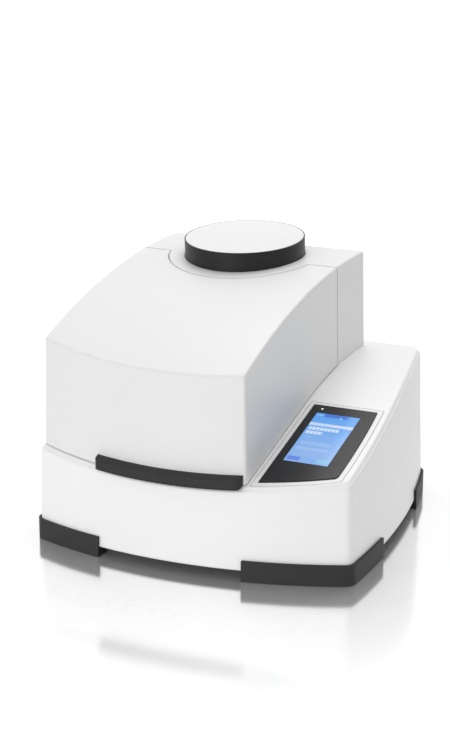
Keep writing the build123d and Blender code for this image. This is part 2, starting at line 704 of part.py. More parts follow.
with BuildPart() as latch_block:
    add(
        slab(
            LATCH_X - LATCH_BLOCK_WIDTH / 2,
            LATCH_X + LATCH_BLOCK_WIDTH / 2,
            -DEPTH,
            LATCH_Y + LATCH_BLOCK_DEPTH,
            BODY_FOOT_Z,
            HEIGHT,
        )
    )
    add(hood_block(HOOD_WALL, chamfer), mode=Mode.INTERSECT)
    add(under_shoulder(-LATCH_BLOCK_LIFT - LATCH_BLOCK_HEIGHT), mode=Mode.INTERSECT)
    add(under_shoulder(-LATCH_BLOCK_LIFT), mode=Mode.SUBTRACT)
    with Locations((LATCH_X, LATCH_Y, LATCH_Z)):
        Box(
            LATCH_BORE,
            LATCH_BORE,
            LATCH_BLOCK_HEIGHT,
            align=(Align.CENTER, Align.CENTER, Align.MIN),
            mode=Mode.SUBTRACT,
        )
finish(latch_block, "latch_block")

# Chamber tray: drawn stainless sheet, open at the top, with round openings for the four hubs
TRAY_INSET = LIP_INSET + CLEARANCE
TRAY_REAR_Y = TOWER_FRONT_Y - CLEARANCE

with BuildPart() as chamber_tray:
    add(prism(hood_plan(TRAY_INSET), TRAY_FLOOR_Z, HEIGHT))
    add(slab(y_to=TRAY_REAR_Y), mode=Mode.INTERSECT)
    add(under_shoulder(0), mode=Mode.INTERSECT)
    hollow = prism(hood_plan(TRAY_INSET + TRAY_WALL), TRAY_FLOOR_Z + TRAY_WALL, HEIGHT)
    add(hollow & slab(y_to=TRAY_REAR_Y - TRAY_WALL), mode=Mode.SUBTRACT)
    with BuildSketch(Plane.XY.offset(TRAY_FLOOR_Z)):
        with Locations([(x, STATION_Y) for x in STATION_XS]):
            RegularPolygon(FLOOR_HOLE_R, 8, major_radius=False)
        with Locations([(x, IDLER_Y) for x in STATION_XS]):
            RegularPolygon(IDLER_HOLE_R, 8, major_radius=False)
    extrude(amount=TRAY_WALL, mode=Mode.SUBTRACT)
    tray_half = HOOD_WIDTH / 2 - TRAY_INSET
    rim_z = LEVEL_Z - arc_fall(LEVEL_RADIUS, LEVEL_Y - TRAY_REAR_Y)
    add(
        slab(
            HOOD_MID_X - tray_half,
            HOOD_MID_X + tray_half,
            TRAY_REAR_Y - TRAY_WALL,
            TRAY_REAR_Y,
            rim_z - TRAY_UPSTAND,
            rim_z + TRAY_UPSTAND,
        )
    )
finish(chamber_tray, "chamber_tray")

# Chamber seal: rubber profile on the lip of the base, just inside the hood, open at the latch
HOOD_LEAN = (LEVEL_Z - HOOD_FOOT_Z) * sin(radians(HOOD_DRAFT))
SEAL_INSET = HOOD_WALL + NOTCH_GAP + HOOD_LEAN
with BuildPart() as chamber_seal:
    add(prism(hood_plan(SEAL_INSET), HOOD_FOOT_Z, HEIGHT))
    add(prism(hood_plan(SEAL_INSET + SEAL_WIDTH), HOOD_FOOT_Z, HEIGHT), mode=Mode.SUBTRACT)
    add(under_shoulder(-SEAL_HEIGHT), mode=Mode.INTERSECT)
    add(under_shoulder(0), mode=Mode.SUBTRACT)
    add(slab(y_from=HOOD_REAR_Y), mode=Mode.SUBTRACT)
    gap = LATCH_BLOCK_WIDTH / 2 + NOTCH_GAP
    add(slab(LATCH_X - gap, LATCH_X + gap, y_to=STATION_Y), mode=Mode.SUBTRACT)
finish(chamber_seal, "chamber_seal")

# Drive frame: thick plate with four bushed bearing housings, bored right through
MAIN_POINTS = [(x, STATION_Y) for x in STATION_XS]
IDLER_POINTS = [(x, IDLER_Y) for x in STATION_XS]
FRAME_LEFT = STATION_XS[0] - FRAME_MARGIN
FRAME_RIGHT = STATION_XS[1] + FRAME_MARGIN
FRAME_FRONT = STATION_Y - FRAME_MARGIN
FRAME_REAR = IDLER_Y + FRAME_REAR_MARGIN
MOUNT_POINTS = [
    (x, y)
    for x in (FRAME_LEFT + MOUNT_INSET, FRAME_RIGHT - MOUNT_INSET)
    for y in (FRAME_FRONT + MOUNT_INSET, FRAME_REAR - MOUNT_INSET)
]
FRAME_TOP_Z = FRAME_Z + FRAME_THICK
MAIN_HOUSING = 2 * (SHAFT_R + HOUSING_WALL)
IDLER_HOUSING = 2 * (IDLER_SHAFT_R + IDLER_HOUSING_WALL)

with BuildPart() as drive_frame:
    with BuildSketch(Plane.XY.offset(FRAME_Z)):
        with Locations(((FRAME_LEFT + FRAME_RIGHT) / 2, (FRAME_FRONT + FRAME_REAR) / 2)):
            Rectangle(FRAME_RIGHT - FRAME_LEFT, FRAME_REAR - FRAME_FRONT)
    extrude(amount=FRAME_THICK)
    with BuildSketch(Plane.XY.offset(HOUSING_LOW_Z)):
        with Locations(MAIN_POINTS):
            Rectangle(MAIN_HOUSING, MAIN_HOUSING)
        with Locations(IDLER_POINTS):
            Rectangle(IDLER_HOUSING, IDLER_HOUSING)
    extrude(amount=HOUSING_HIGH_Z - HOUSING_LOW_Z)
    with BuildSketch(Plane.XY.offset(HOUSING_LOW_Z)):
        with Locations(MAIN_POINTS):
            Circle(SHAFT_R + RUNNING_FIT)
        with Locations(IDLER_POINTS):
            Circle(IDLER_SHAFT_R + RUNNING_FIT)
    extrude(amount=HOUSING_HIGH_Z - HOUSING_LOW_Z, mode=Mode.SUBTRACT)
finish(drive_frame, "drive_frame")

# Rubber mounts between the bottom plate and the drive frame
with BuildPart() as frame_mounts:
    with BuildSketch(Plane.XY.offset(PLATE_TOP_Z)):
        with Locations(MOUNT_POINTS):
            RegularPolygon(MOUNT_R, 8)
    extrude(amount=FRAME_Z - PLATE_TOP_Z)
finish(frame_mounts, "frame_mounts")

# Motor on a bracket plate behind the frame, shaft downwards
BRACKET_REAR = MOTOR_Y + MOTOR_SIZE / 2 + MOTOR_FLANGE

with BuildPart() as motor_bracket:
    with BuildSketch(Plane.XY.offset(FRAME_TOP_Z)):
        with Locations((MOTOR_X, FRAME_REAR)):
            Rectangle(BRACKET_WIDTH, BRACKET_REAR - FRAME_REAR, align=(Align.CENTER, Align.MIN))
        with Locations((MOTOR_X, MOTOR_Y)):
            Rectangle(4 * MOTOR_SHAFT_R, 4 * MOTOR_SHAFT_R, mode=Mode.SUBTRACT)
    extrude(amount=-BRACKET_THICK)
    for side in (-1, 1):
        with BuildSketch(Plane.XY.offset(PLATE_TOP_Z)):
            with Locations((MOTOR_X + side * (BRACKET_WIDTH - BRACKET_THICK) / 2, BRACKET_REAR)):
                Rectangle(BRACKET_THICK, 2 * BRACKET_THICK, align=(Align.CENTER, Align.MAX))
        extrude(amount=FRAME_TOP_Z - PLATE_TOP_Z)
finish(motor_bracket, "motor_bracket")

MOTOR_FLANGE_SIZE = MOTOR_SIZE + 2 * MOTOR_FLANGE
with BuildPart() as motor_housing:
    with BuildSketch(Plane.XY.offset(FRAME_TOP_Z)):
        with Locations((MOTOR_X, MOTOR_Y)):
            Rectangle(MOTOR_FLANGE_SIZE, MOTOR_FLANGE_SIZE)
    extrude(amount=MOTOR_FLANGE)
    with BuildSketch(Plane.XY.offset(FRAME_TOP_Z + MOTOR_FLANGE)) as body:
        with Locations((MOTOR_X, MOTOR_Y)):
            Rectangle(MOTOR_SIZE, MOTOR_SIZE)
        chamfer(body.vertices(), MOTOR_CHAMFER)
    extrude(amount=MOTOR_LENGTH - MOTOR_FLANGE)
finish(motor_housing, "motor_housing")

# Bolt heads of the drive: over the four rubber mounts and at the corners of the motor's flange
with BuildPart() as frame_bolts:
    with BuildSketch(Plane.XY.offset(FRAME_TOP_Z)):
        with Locations(MOUNT_POINTS):
            RegularPolygon(BOLT_HEAD_R, 6)
    extrude(amount=BOLT_HEAD)
    with BuildSketch(Plane.XY.offset(FRAME_TOP_Z + MOTOR_FLANGE)):
        with Locations((MOTOR_X, MOTOR_Y)):
            with GridLocations(MOTOR_SIZE, MOTOR_SIZE, 2, 2):
                RegularPolygon(BOLT_HEAD_R, 6)
    extrude(amount=BOLT_HEAD)
finish(frame_bolts, "frame_bolts")

# Belt drive: toothed pulleys on the motor and on both driven cranks, one belt round all three
PULLEY_LOW_Z = BELT_Z - PULLEY_RIM
PULLEY_HEIGHT = BELT_WIDTH + 2 * PULLEY_RIM
PULLEY_TOP_Z = PULLEY_LOW_Z + PULLEY_HEIGHT
DRIVEN_PULLEY_R = DRIVE_PULLEY_R * DRIVE_RATIO
DRIVEN_PULLEY_TEETH = DRIVE_PULLEY_TEETH * DRIVE_RATIO
PULLEY_RIMS = [(point, DRIVEN_PULLEY_R) for point in MAIN_POINTS]
PULLEY_RIMS.append(((MOTOR_X, MOTOR_Y), DRIVE_PULLEY_R))


def belt_loop(grow):
    """Plan of a band pulled tight round the three pulleys, grown outwards."""
    with BuildSketch(mode=Mode.PRIVATE) as loop:
        for point, radius in PULLEY_RIMS:
            with Locations(point):
                Circle(radius + CLEARANCE + grow)
        make_hull(loop.edges())
    return loop.sketch


with BuildPart() as drive_belt:
    add(prism(belt_loop(BELT_THICK), BELT_Z, BELT_Z + BELT_WIDTH))
    add(prism(belt_loop(0), BELT_Z, BELT_Z + BELT_WIDTH), mode=Mode.SUBTRACT)
finish(drive_belt, "drive_belt")

with BuildPart() as motor_pulley:
    with BuildSketch(Plane.XY.offset(PULLEY_LOW_Z)):
        with Locations((MOTOR_X, MOTOR_Y)):
            RegularPolygon(DRIVE_PULLEY_R, DRIVE_PULLEY_TEETH)
    extrude(amount=PULLEY_HEIGHT)
    with BuildSketch(Plane.XY.offset(PULLEY_TOP_Z)):
        with Locations((MOTOR_X, MOTOR_Y)):
            RegularPolygon(MOTOR_SHAFT_R, 6)
    extrude(amount=FRAME_TOP_Z - PULLEY_TOP_Z)
finish(motor_pulley, "motor_pulley")

# The grinding stations: each jar is carried round a small circle without turning, by a driven
# crank with its counterweight and an idler crank behind it. The two stations run opposite each
# other, so that their forces cancel.
for side, x, turn in zip(STATION_SIDES, STATION_XS, STATION_TURNS):
    pin_x = x + turn * THROW

    with BuildPart() as crank:
        with BuildSketch(Plane.XY.offset(PULLEY_LOW_Z)):
            with Locations((x, STATION_Y)):
                RegularPolygon(SHAFT_R, 6)
        extrude(amount=PULLEY_HEIGHT)
        with BuildSketch(Plane.XY.offset(PULLEY_TOP_Z)):
            with Locations((x, STATION_Y)):
                Circle(SHAFT_R)
        extrude(amount=WEB_Z - PULLEY_TOP_Z)
        with BuildSketch(Plane.XY.offset(WEB_Z)):
            with Locations((x, STATION_Y)):
                RegularPolygon(COUNTERWEIGHT_R, COUNTERWEIGHT_FACETS)
            with Locations((x - turn * COUNTERWEIGHT_R, STATION_Y)):
                Rectangle(2 * COUNTERWEIGHT_R, 2 * COUNTERWEIGHT_R, mode=Mode.INTERSECT)
            with Locations((x, STATION_Y)):
                Rectangle(2 * SHAFT_R, 2 * (SHAFT_R + WEB_SHELL))
            with Locations((pin_x, STATION_Y)):
                RegularPolygon(PIN_R + WEB_SHELL, 8)
        extrude(amount=WEB_THICK)
        with BuildSketch(Plane.XY.offset(WEB_TOP_Z)):
            with Locations((pin_x, STATION_Y)):
                Circle(PIN_R)
        extrude(amount=CARRIER_Z - WEB_TOP_Z)
    finish(crank, f"crank_{side}")

    with BuildPart() as pulley:
        with BuildSketch(Plane.XY.offset(PULLEY_LOW_Z)):
            with Locations((x, STATION_Y)):
                RegularPolygon(DRIVEN_PULLEY_R, DRIVEN_PULLEY_TEETH)
                RegularPolygon(SHAFT_R, 6, mode=Mode.SUBTRACT)
        extrude(amount=PULLEY_HEIGHT)
    finish(pulley, f"pulley_{side}")

    with BuildPart() as idler:
        with BuildSketch(Plane.XY.offset(HOUSING_LOW_Z)):
            with Locations((x, IDLER_Y)):
                Circle(IDLER_SHAFT_R)
        extrude(amount=WEB_Z - HOUSING_LOW_Z)
        with BuildSketch(Plane.XY.offset(WEB_Z)):
            with Locations((x + turn * THROW / 2, IDLER_Y)):
                Rectangle(THROW + 2 * IDLER_SHAFT_R, 2 * IDLER_SHAFT_R)
        extrude(amount=WEB_THICK)
        with BuildSketch(Plane.XY.offset(WEB_TOP_Z)):
            with Locations((pin_x, IDLER_Y)):
                Circle(IDLER_PIN_R)
        extrude(amount=CARRIER_Z - WEB_TOP_Z)
    finish(idler, f"idler_{side}")

    # Jar holder: carrier plate on two bushed hubs, with a bored block whose front has the clamp
    front_face = STATION_Y - HOLDER_SIDE / 2
    lever_x = pin_x - LEVER_OFFSET
    lever_y = front_face - LEVER_EAR - CLEARANCE
    lever_z = HOLDER_TOP_Z - LEVER_EAR - LEVER_HEIGHT
    with BuildPart() as holder:
        with BuildSketch(Plane.XY.offset(HUB_LOW_Z)):
            with Locations((pin_x, STATION_Y)):
                RegularPolygon(HUB_R, 8)
            with Locations((pin_x, IDLER_Y)):
                RegularPolygon(IDLER_HUB_R, 8)
        extrude(amount=CARRIER_Z - HUB_LOW_Z)
        with BuildSketch(Plane.XY.offset(CARRIER_Z)):
            with Locations((pin_x, front_face)):
                Rectangle(HOLDER_SIDE, CARRIER_LENGTH, align=(Align.CENTER, Align.MIN))
        extrude(amount=CARRIER_THICK)
        with BuildSketch(Plane.XY.offset(CARRIER_TOP_Z)) as bowl:
            with Locations((pin_x, STATION_Y)):
                Rectangle(HOLDER_SIDE, HOLDER_SIDE)
            chamfer(bowl.vertices(), HOLDER_CHAMFER)
        extrude(amount=HOLDER_HEIGHT)
        with BuildSketch(Plane.XY.offset(CARRIER_TOP_Z + HOLDER_FLOOR)):
            with Locations((pin_x, STATION_Y)):
                Circle(JAR_R + CLEARANCE)
        extrude(amount=HOLDER_HEIGHT, mode=Mode.SUBTRACT)
        with BuildSketch(Plane.XY.offset(HUB_LOW_Z)):
            with Locations((pin_x, STATION_Y)):
                Circle(PIN_R + RUNNING_FIT)
            with Locations((pin_x, IDLER_Y)):
                Circle(IDLER_PIN_R + RUNNING_FIT)
        extrude(amount=CARRIER_Z + CLEARANCE - HUB_LOW_Z, mode=Mode.SUBTRACT)
        for ear_z in (lever_z - LEVER_EAR, lever_z + LEVER_HEIGHT):
            with BuildSketch(Plane.XY.offset(ear_z)):
                with Locations((lever_x, front_face)):
                    Rectangle(
                        2 * LEVER_EAR, 2 * LEVER_EAR + CLEARANCE, align=(Align.CENTER, Align.MAX)
                    )
            extrude(amount=LEVER_EAR - CLEARANCE)
        with BuildSketch(Plane.XY.offset(lever_z - LEVER_EAR)):
            with Locations((lever_x, lever_y)):
                Circle(LEVER_PIN_R)
        extrude(amount=2 * LEVER_EAR + LEVER_HEIGHT - CLEARANCE)
    finish(holder, f"holder_{side}")

    with BuildPart() as clamp_lever:
        with BuildSketch(Plane.XY.offset(lever_z)):
            with Locations((lever_x, lever_y)):
                RegularPolygon(LEVER_THICK / 2 + CLEARANCE, 8)
                Rectangle(LEVER_LENGTH, LEVER_THICK, align=(Align.MIN, Align.CENTER))
                Circle(LEVER_PIN_R + RUNNING_FIT, mode=Mode.SUBTRACT)
        extrude(amount=LEVER_HEIGHT - CLEARANCE)
    finish(clamp_lever, f"clamp_lever_{side}")

    # Grinding jar with its lid
    with BuildPart() as jar:
        with BuildSketch(Plane.XY.offset(JAR_Z)):
            with Locations((pin_x, STATION_Y)):
                Circle(JAR_R)
        extrude(amount=JAR_HEIGHT)
        with BuildSketch(Plane.XY.offset(JAR_Z + JAR_FLOOR)):
            with Locations((pin_x, STATION_Y)):
                Circle(JAR_BORE_R)
        extrude(amount=JAR_HEIGHT, mode=Mode.SUBTRACT)
    finish(jar, f"jar_{side}")

    with BuildPart() as jar_lid:
        with BuildSketch(Plane.XY.offset(LID_Z)):
            with Locations((pin_x, STATION_Y)):
                Circle(JAR_R)
        extrude(amount=LID_HEIGHT)
        with BuildSketch(Plane.XY.offset(LID_Z)):
            with Locations((pin_x, STATION_Y)):
                Circle(JAR_BORE_R - CLEARANCE)
        extrude(amount=-LID_SPIGOT)
        with BuildSketch(Plane.XY.offset(LID_Z + LID_HEIGHT)):
            with Locations((pin_x, STATION_Y)):
                Rectangle(JAR_R, LID_GRIP_WIDTH)
        extrude(amount=LID_GRIP_HEIGHT)
    finish(jar_lid, f"jar_lid_{side}")

# Display panel: a white insert flush with the ramp, the dark bezel, the screen and the lamp in it
with BuildPart() as display_panel:
    add(prism(panel_outline(PANEL_BORDER), BODY_FOOT_Z, HEIGHT))
    add(under_shoulder(0), mode=Mode.INTERSECT)
    add(under_shoulder(PANEL_THICK), mode=Mode.SUBTRACT)
    well = prism(panel_outline(CLEARANCE), BODY_FOOT_Z, HEIGHT) - under_shoulder(BEZEL_SINK)
    add(well, mode=Mode.SUBTRACT)
finish(display_panel, "display_panel")

SCREEN_BOX = (
    SCREEN_LEFT_X,
    SCREEN_RIGHT_X,
    SCREEN_TOP_Y - SCREEN_DEPTH,
    SCREEN_TOP_Y,
)
with BuildPart(mode=Mode.PRIVATE) as lamp_bore:
    with Locations((LAMP_X, LAMP_Y, ramp_z(LAMP_Y))):
        Cylinder(LAMP_R, 4 * PANEL_THICK)

with BuildPart() as display_bezel:
    add(prism(panel_outline(0), BODY_FOOT_Z, HEIGHT))
    add(under_shoulder(-BEZEL_PROUD), mode=Mode.INTERSECT)
    add(under_shoulder(BEZEL_SINK), mode=Mode.SUBTRACT)
    add(slab(*SCREEN_BOX) - under_shoulder(SCREEN_THICK - BEZEL_PROUD), mode=Mode.SUBTRACT)
    add(lamp_bore.part, mode=Mode.SUBTRACT)
finish(display_bezel, "display_bezel")

with BuildPart() as display_screen:
    add(slab(*SCREEN_BOX, BODY_FOOT_Z, HEIGHT))
    add(under_shoulder(-BEZEL_PROUD), mode=Mode.INTERSECT)
    add(under_shoulder(SCREEN_THICK - BEZEL_PROUD), mode=Mode.SUBTRACT)
finish(display_screen, "display_screen")

with BuildPart() as status_lamp:
    add(lamp_bore.part)
    add(under_shoulder(-BEZEL_PROUD - CLEARANCE), mode=Mode.INTERSECT)
    add(under_shoulder(0), mode=Mode.SUBTRACT)
finish(status_lamp, "status_lamp")

# Control board: circuit board on four posts under the display panel
with BuildPart() as control_board:
    board = slab(
        PANEL_LEFT_X + BOARD_MARGIN,
        SCREEN_RIGHT_X + BOARD_MARGIN,
        SCREEN_BOX[2] - BOARD_MARGIN,
        PANEL_TOP_Y - 2 * BOARD_MARGIN,
        BODY_FOOT_Z,
        HEIGHT,
    )
    add(board & under_shoulder(BOARD_DROP))
    add(under_shoulder(BOARD_DROP + BOARD_THICK), mode=Mode.SUBTRACT)
    with BuildPart(mode=Mode.PRIVATE) as posts:
        with Locations(
            [
                (x, y, ramp_z(y))
                for x in (PANEL_LEFT_X + 2 * BOARD_MARGIN, SCREEN_RIGHT_X)
                for y in (SCREEN_BOX[2], PANEL_TOP_Y - 3 * BOARD_MARGIN)
            ]
        ):
            Box(BOARD_POST, BOARD_POST, 4 * BOARD_DROP)
    add((posts.part & under_shoulder(PANEL_THICK)) - under_shoulder(BOARD_DROP))
finish(control_board, "control_board")

# Power unit: finned case on the bottom plate under the display
with BuildPart() as power_unit:
    with BuildSketch(Plane.XY.offset(PLATE_TOP_Z)):
        with Locations((POWER_X, POWER_Y)):
            Rectangle(POWER_WIDTH, POWER_DEPTH)
    extrude(amount=POWER_HEIGHT)
    with BuildSketch(Plane.XY.offset(PLATE_TOP_Z + POWER_HEIGHT)):
        with Locations((POWER_X, POWER_Y)):
            with GridLocations(POWER_WIDTH / POWER_FINS, 0, POWER_FINS, 1):
                Rectangle(POWER_FIN_THICK, POWER_DEPTH)
    extrude(amount=POWER_FIN_HEIGHT)
finish(power_unit, "power_unit")

# Cooling circuit: tank, pump, radiator with its fan, and the vent in the rear wall
with BuildPart() as water_tank:
    with BuildSketch(Plane.XY.offset(PLATE_TOP_Z)) as tank:
        with Locations((TANK_X, TANK_Y)):
            Rectangle(TANK_WIDTH, TANK_DEPTH)
        chamfer(tank.vertices(), TANK_CHAMFER)
    extrude(amount=TANK_HEIGHT)
    with BuildSketch(Plane.XY.offset(PLATE_TOP_Z + TANK_HEIGHT)):
        with Locations((TANK_X, TANK_Y)):
            RegularPolygon(TANK_NECK_R, 12)
    extrude(amount=TANK_NECK)
finish(water_tank, "water_tank")

with BuildPart() as coolant_pump:
    with BuildSketch(Plane.XY.offset(PLATE_TOP_Z)):
        with Locations((PUMP_X, PUMP_Y)):
            RegularPolygon(PUMP_R, 12)
    extrude(amount=PUMP_HEIGHT)
    with BuildSketch(Plane.XY.offset(PLATE_TOP_Z + PUMP_HEIGHT)):
        with Locations((PUMP_X, PUMP_Y)):
            RegularPolygon(PUMP_PORT_R, 8)
    extrude(amount=PUMP_PORT)
finish(coolant_pump, "coolant_pump")

RADIATOR_LOW_Z = RADIATOR_Z - RADIATOR_WIDTH / 2
RADIATOR_FRONT_Y = RADIATOR_REAR_Y - RADIATOR_THICK
SHROUD_FRONT_Y = RADIATOR_FRONT_Y - SHROUD_THICK

with BuildPart() as radiator:
    with BuildSketch(Plane.XZ.offset(-RADIATOR_REAR_Y)):
        with Locations((RADIATOR_X, RADIATOR_Z)):
            Rectangle(RADIATOR_WIDTH, RADIATOR_WIDTH)
            with GridLocations(0, RADIATOR_WIDTH / (RADIATOR_SLOTS + 1), 1, RADIATOR_SLOTS):
                Rectangle(
                    RADIATOR_WIDTH - 2 * RADIATOR_LEG, RADIATOR_SLOT_HEIGHT, mode=Mode.SUBTRACT
                )
        for side in (-1, 1):
            with Locations((RADIATOR_X + side * (RADIATOR_WIDTH - RADIATOR_LEG) / 2, PLATE_TOP_Z)):
                Rectangle(
                    RADIATOR_LEG, RADIATOR_LOW_Z - PLATE_TOP_Z, align=(Align.CENTER, Align.MIN)
                )
    extrude(amount=RADIATOR_THICK)
finish(radiator, "radiator")

with BuildPart() as fan_shroud:
    with BuildSketch(Plane.XZ.offset(-RADIATOR_FRONT_Y)):
        with Locations((RADIATOR_X, RADIATOR_Z)):
            Rectangle(RADIATOR_WIDTH, RADIATOR_WIDTH)
            RegularPolygon(FAN_R + HUB_GAP, 16, major_radius=False, mode=Mode.SUBTRACT)
    extrude(amount=SHROUD_THICK)
    with BuildSketch(Plane.XZ.offset(-SHROUD_FRONT_Y - HUB_GAP)):
        with Locations((RADIATOR_X, RADIATOR_Z)):
            RegularPolygon(FAN_HUB_R, 8)
            Rectangle(RADIATOR_WIDTH, RADIATOR_LEG)
            Rectangle(RADIATOR_LEG, RADIATOR_WIDTH)
    extrude(amount=HUB_GAP)
finish(fan_shroud, "fan_shroud")

# Fan rotor: blades set at an angle on a hub that runs just behind the shroud's spider
ROTOR_FRONT_Y = SHROUD_FRONT_Y + HUB_GAP + CLEARANCE
with BuildPart() as fan_rotor:
    with BuildSketch(Plane.XZ.offset(-ROTOR_FRONT_Y)):
        with Locations((RADIATOR_X, RADIATOR_Z)):
            RegularPolygon(FAN_HUB_R, 12)
    extrude(amount=-FAN_DEPTH)
    rotor_middle = (RADIATOR_X, ROTOR_FRONT_Y + FAN_DEPTH / 2, RADIATOR_Z)
    with Locations(Plane(origin=rotor_middle, x_dir=(1, 0, 0), z_dir=(0, -1, 0))):
        with PolarLocations(0, FAN_BLADES):
            with Locations(Location((0, 0, 0), (FAN_BLADE_ANGLE, 0, 0))):
                Box(
                    FAN_R,
                    FAN_BLADE_THICK,
                    FAN_DEPTH,
                    align=(Align.MIN, Align.CENTER, Align.CENTER),
                )
finish(fan_rotor, "fan_rotor")

# Rear vent: a flat louvred plate let into the leaning rear wall
VENT_TURN = asin(VENT_X / REAR_RADIUS)
VENT_LEAN = radians(BODY_DRAFT)
VENT_FACE_Y = rear_wall_y(VENT_X) - (RADIATOR_Z - BODY_FOOT_Z) * sin(VENT_LEAN) - VENT_SINK
VENT_PLANE = Plane(
    origin=(VENT_X, VENT_FACE_Y, RADIATOR_Z),
    x_dir=(-cos(VENT_TURN), sin(VENT_TURN), 0),
    z_dir=(sin(VENT_TURN) * cos(VENT_LEAN), cos(VENT_TURN) * cos(VENT_LEAN), sin(VENT_LEAN)),
)
with BuildPart() as rear_vent:
    with BuildSketch(VENT_PLANE):
        Rectangle(VENT_WIDTH - 2 * CLEARANCE, VENT_WIDTH - 2 * CLEARANCE)
        with GridLocations(0, VENT_WIDTH / (VENT_SLOTS + 1), 1, VENT_SLOTS):
            Rectangle(VENT_WIDTH - 2 * VENT_BORDER, VENT_SLOT_HEIGHT, mode=Mode.SUBTRACT)
    extrude(amount=-BASE_WALL)
finish(rear_vent, "rear_vent")

# Mains inlet module in the rear wall: socket with three contacts below, rocker switch above
SOCKET_Z = INLET_Z - INLET_HEIGHT / 4
ROCKER_Z = INLET_Z + INLET_HEIGHT / 4
ROCKER_PIVOT_Y = INLET_FACE_Y - ROCKER_DEPTH
with BuildPart() as power_inlet:
    with BuildSketch(Plane.XZ.offset(-INLET_FACE_Y)):
        with Locations((INLET_X, INLET_Z)):
            Rectangle(INLET_WIDTH, INLET_HEIGHT)
    extrude(amount=INLET_DEPTH)
    with BuildSketch(Plane.XZ.offset(-INLET_FACE_Y)):
        with Locations((INLET_X, SOCKET_Z)):
            Rectangle(SOCKET_WIDTH, SOCKET_HEIGHT)
        with Locations((INLET_X, ROCKER_Z)):
            Rectangle(ROCKER_WIDTH + 2 * CLEARANCE, ROCKER_HEIGHT + 2 * ROCKER_LIP)
    extrude(amount=SOCKET_DEPTH, mode=Mode.SUBTRACT)
    with BuildSketch(Plane.XZ.offset(SOCKET_DEPTH - INLET_FACE_Y)):
        with Locations((INLET_X, SOCKET_Z)):
            with GridLocations(SOCKET_PIN_PITCH, 0, 3, 1):
                Rectangle(SOCKET_PIN, SOCKET_PIN_HEIGHT)
    extrude(amount=-SOCKET_PIN_LENGTH)
finish(power_inlet, "power_inlet")

with BuildPart() as power_rocker:
    half = ROCKER_HEIGHT / 2
    with BuildSketch(Plane.YZ.offset(INLET_X - ROCKER_WIDTH / 2)):
        with Locations(Location((ROCKER_PIVOT_Y, ROCKER_Z, 0), (0, 0, ROCKER_TILT))):
            Polygon(
                (-ROCKER_DEPTH, 0),
                (0, -half),
                (ROCKER_DEPTH + ROCKER_LIP, -half),
                (ROCKER_DEPTH, 0),
                (ROCKER_DEPTH + ROCKER_LIP, half),
                (0, half),
                align=None,
            )
    extrude(amount=ROCKER_WIDTH)
finish(power_rocker, "power_rocker")
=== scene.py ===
import math

import bmesh
import bpy
from mathutils import Matrix, Vector


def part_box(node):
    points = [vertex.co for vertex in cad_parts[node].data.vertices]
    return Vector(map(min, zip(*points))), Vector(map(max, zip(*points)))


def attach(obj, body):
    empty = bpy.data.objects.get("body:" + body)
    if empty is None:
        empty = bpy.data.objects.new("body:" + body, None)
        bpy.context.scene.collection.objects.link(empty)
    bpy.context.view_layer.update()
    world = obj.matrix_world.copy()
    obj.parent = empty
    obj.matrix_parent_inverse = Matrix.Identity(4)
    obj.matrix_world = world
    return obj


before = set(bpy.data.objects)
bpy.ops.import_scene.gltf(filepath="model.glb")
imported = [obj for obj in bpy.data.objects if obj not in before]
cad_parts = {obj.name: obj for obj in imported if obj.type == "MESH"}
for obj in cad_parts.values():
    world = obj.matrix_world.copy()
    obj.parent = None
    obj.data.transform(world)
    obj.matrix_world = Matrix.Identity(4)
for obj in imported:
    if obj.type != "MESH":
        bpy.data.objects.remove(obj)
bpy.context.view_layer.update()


# Base housing, hood, tower and display panel: white mouldings in satin plastic with a fine
# spark-eroded grain. Their edges are broken by a small radius, which the finish rounds for light.
class Wire:
    """One output socket in a finish; its operators add the Math nodes behind it."""

    def __init__(self, finish, socket):
        self.finish = finish
        self.socket = socket

    def maths(self, operation, first, second):
        return self.finish.node("ShaderNodeMath", {"operation": operation}, {0: first, 1: second})

    def __add__(self, other):
        return self.maths("ADD", self, other)

    def __sub__(self, other):
        return self.maths("SUBTRACT", self, other)

    def __mul__(self, other):
        return self.maths("MULTIPLY", self, other)

    def __truediv__(self, other):
        return self.maths("DIVIDE", self, other)

    def __rsub__(self, other):
        return self.maths("SUBTRACT", other, self)

    def __mod__(self, other):
        return self.maths("FLOORED_MODULO", self, other)

    def __gt__(self, other):
        return self.maths("GREATER_THAN", self, other)


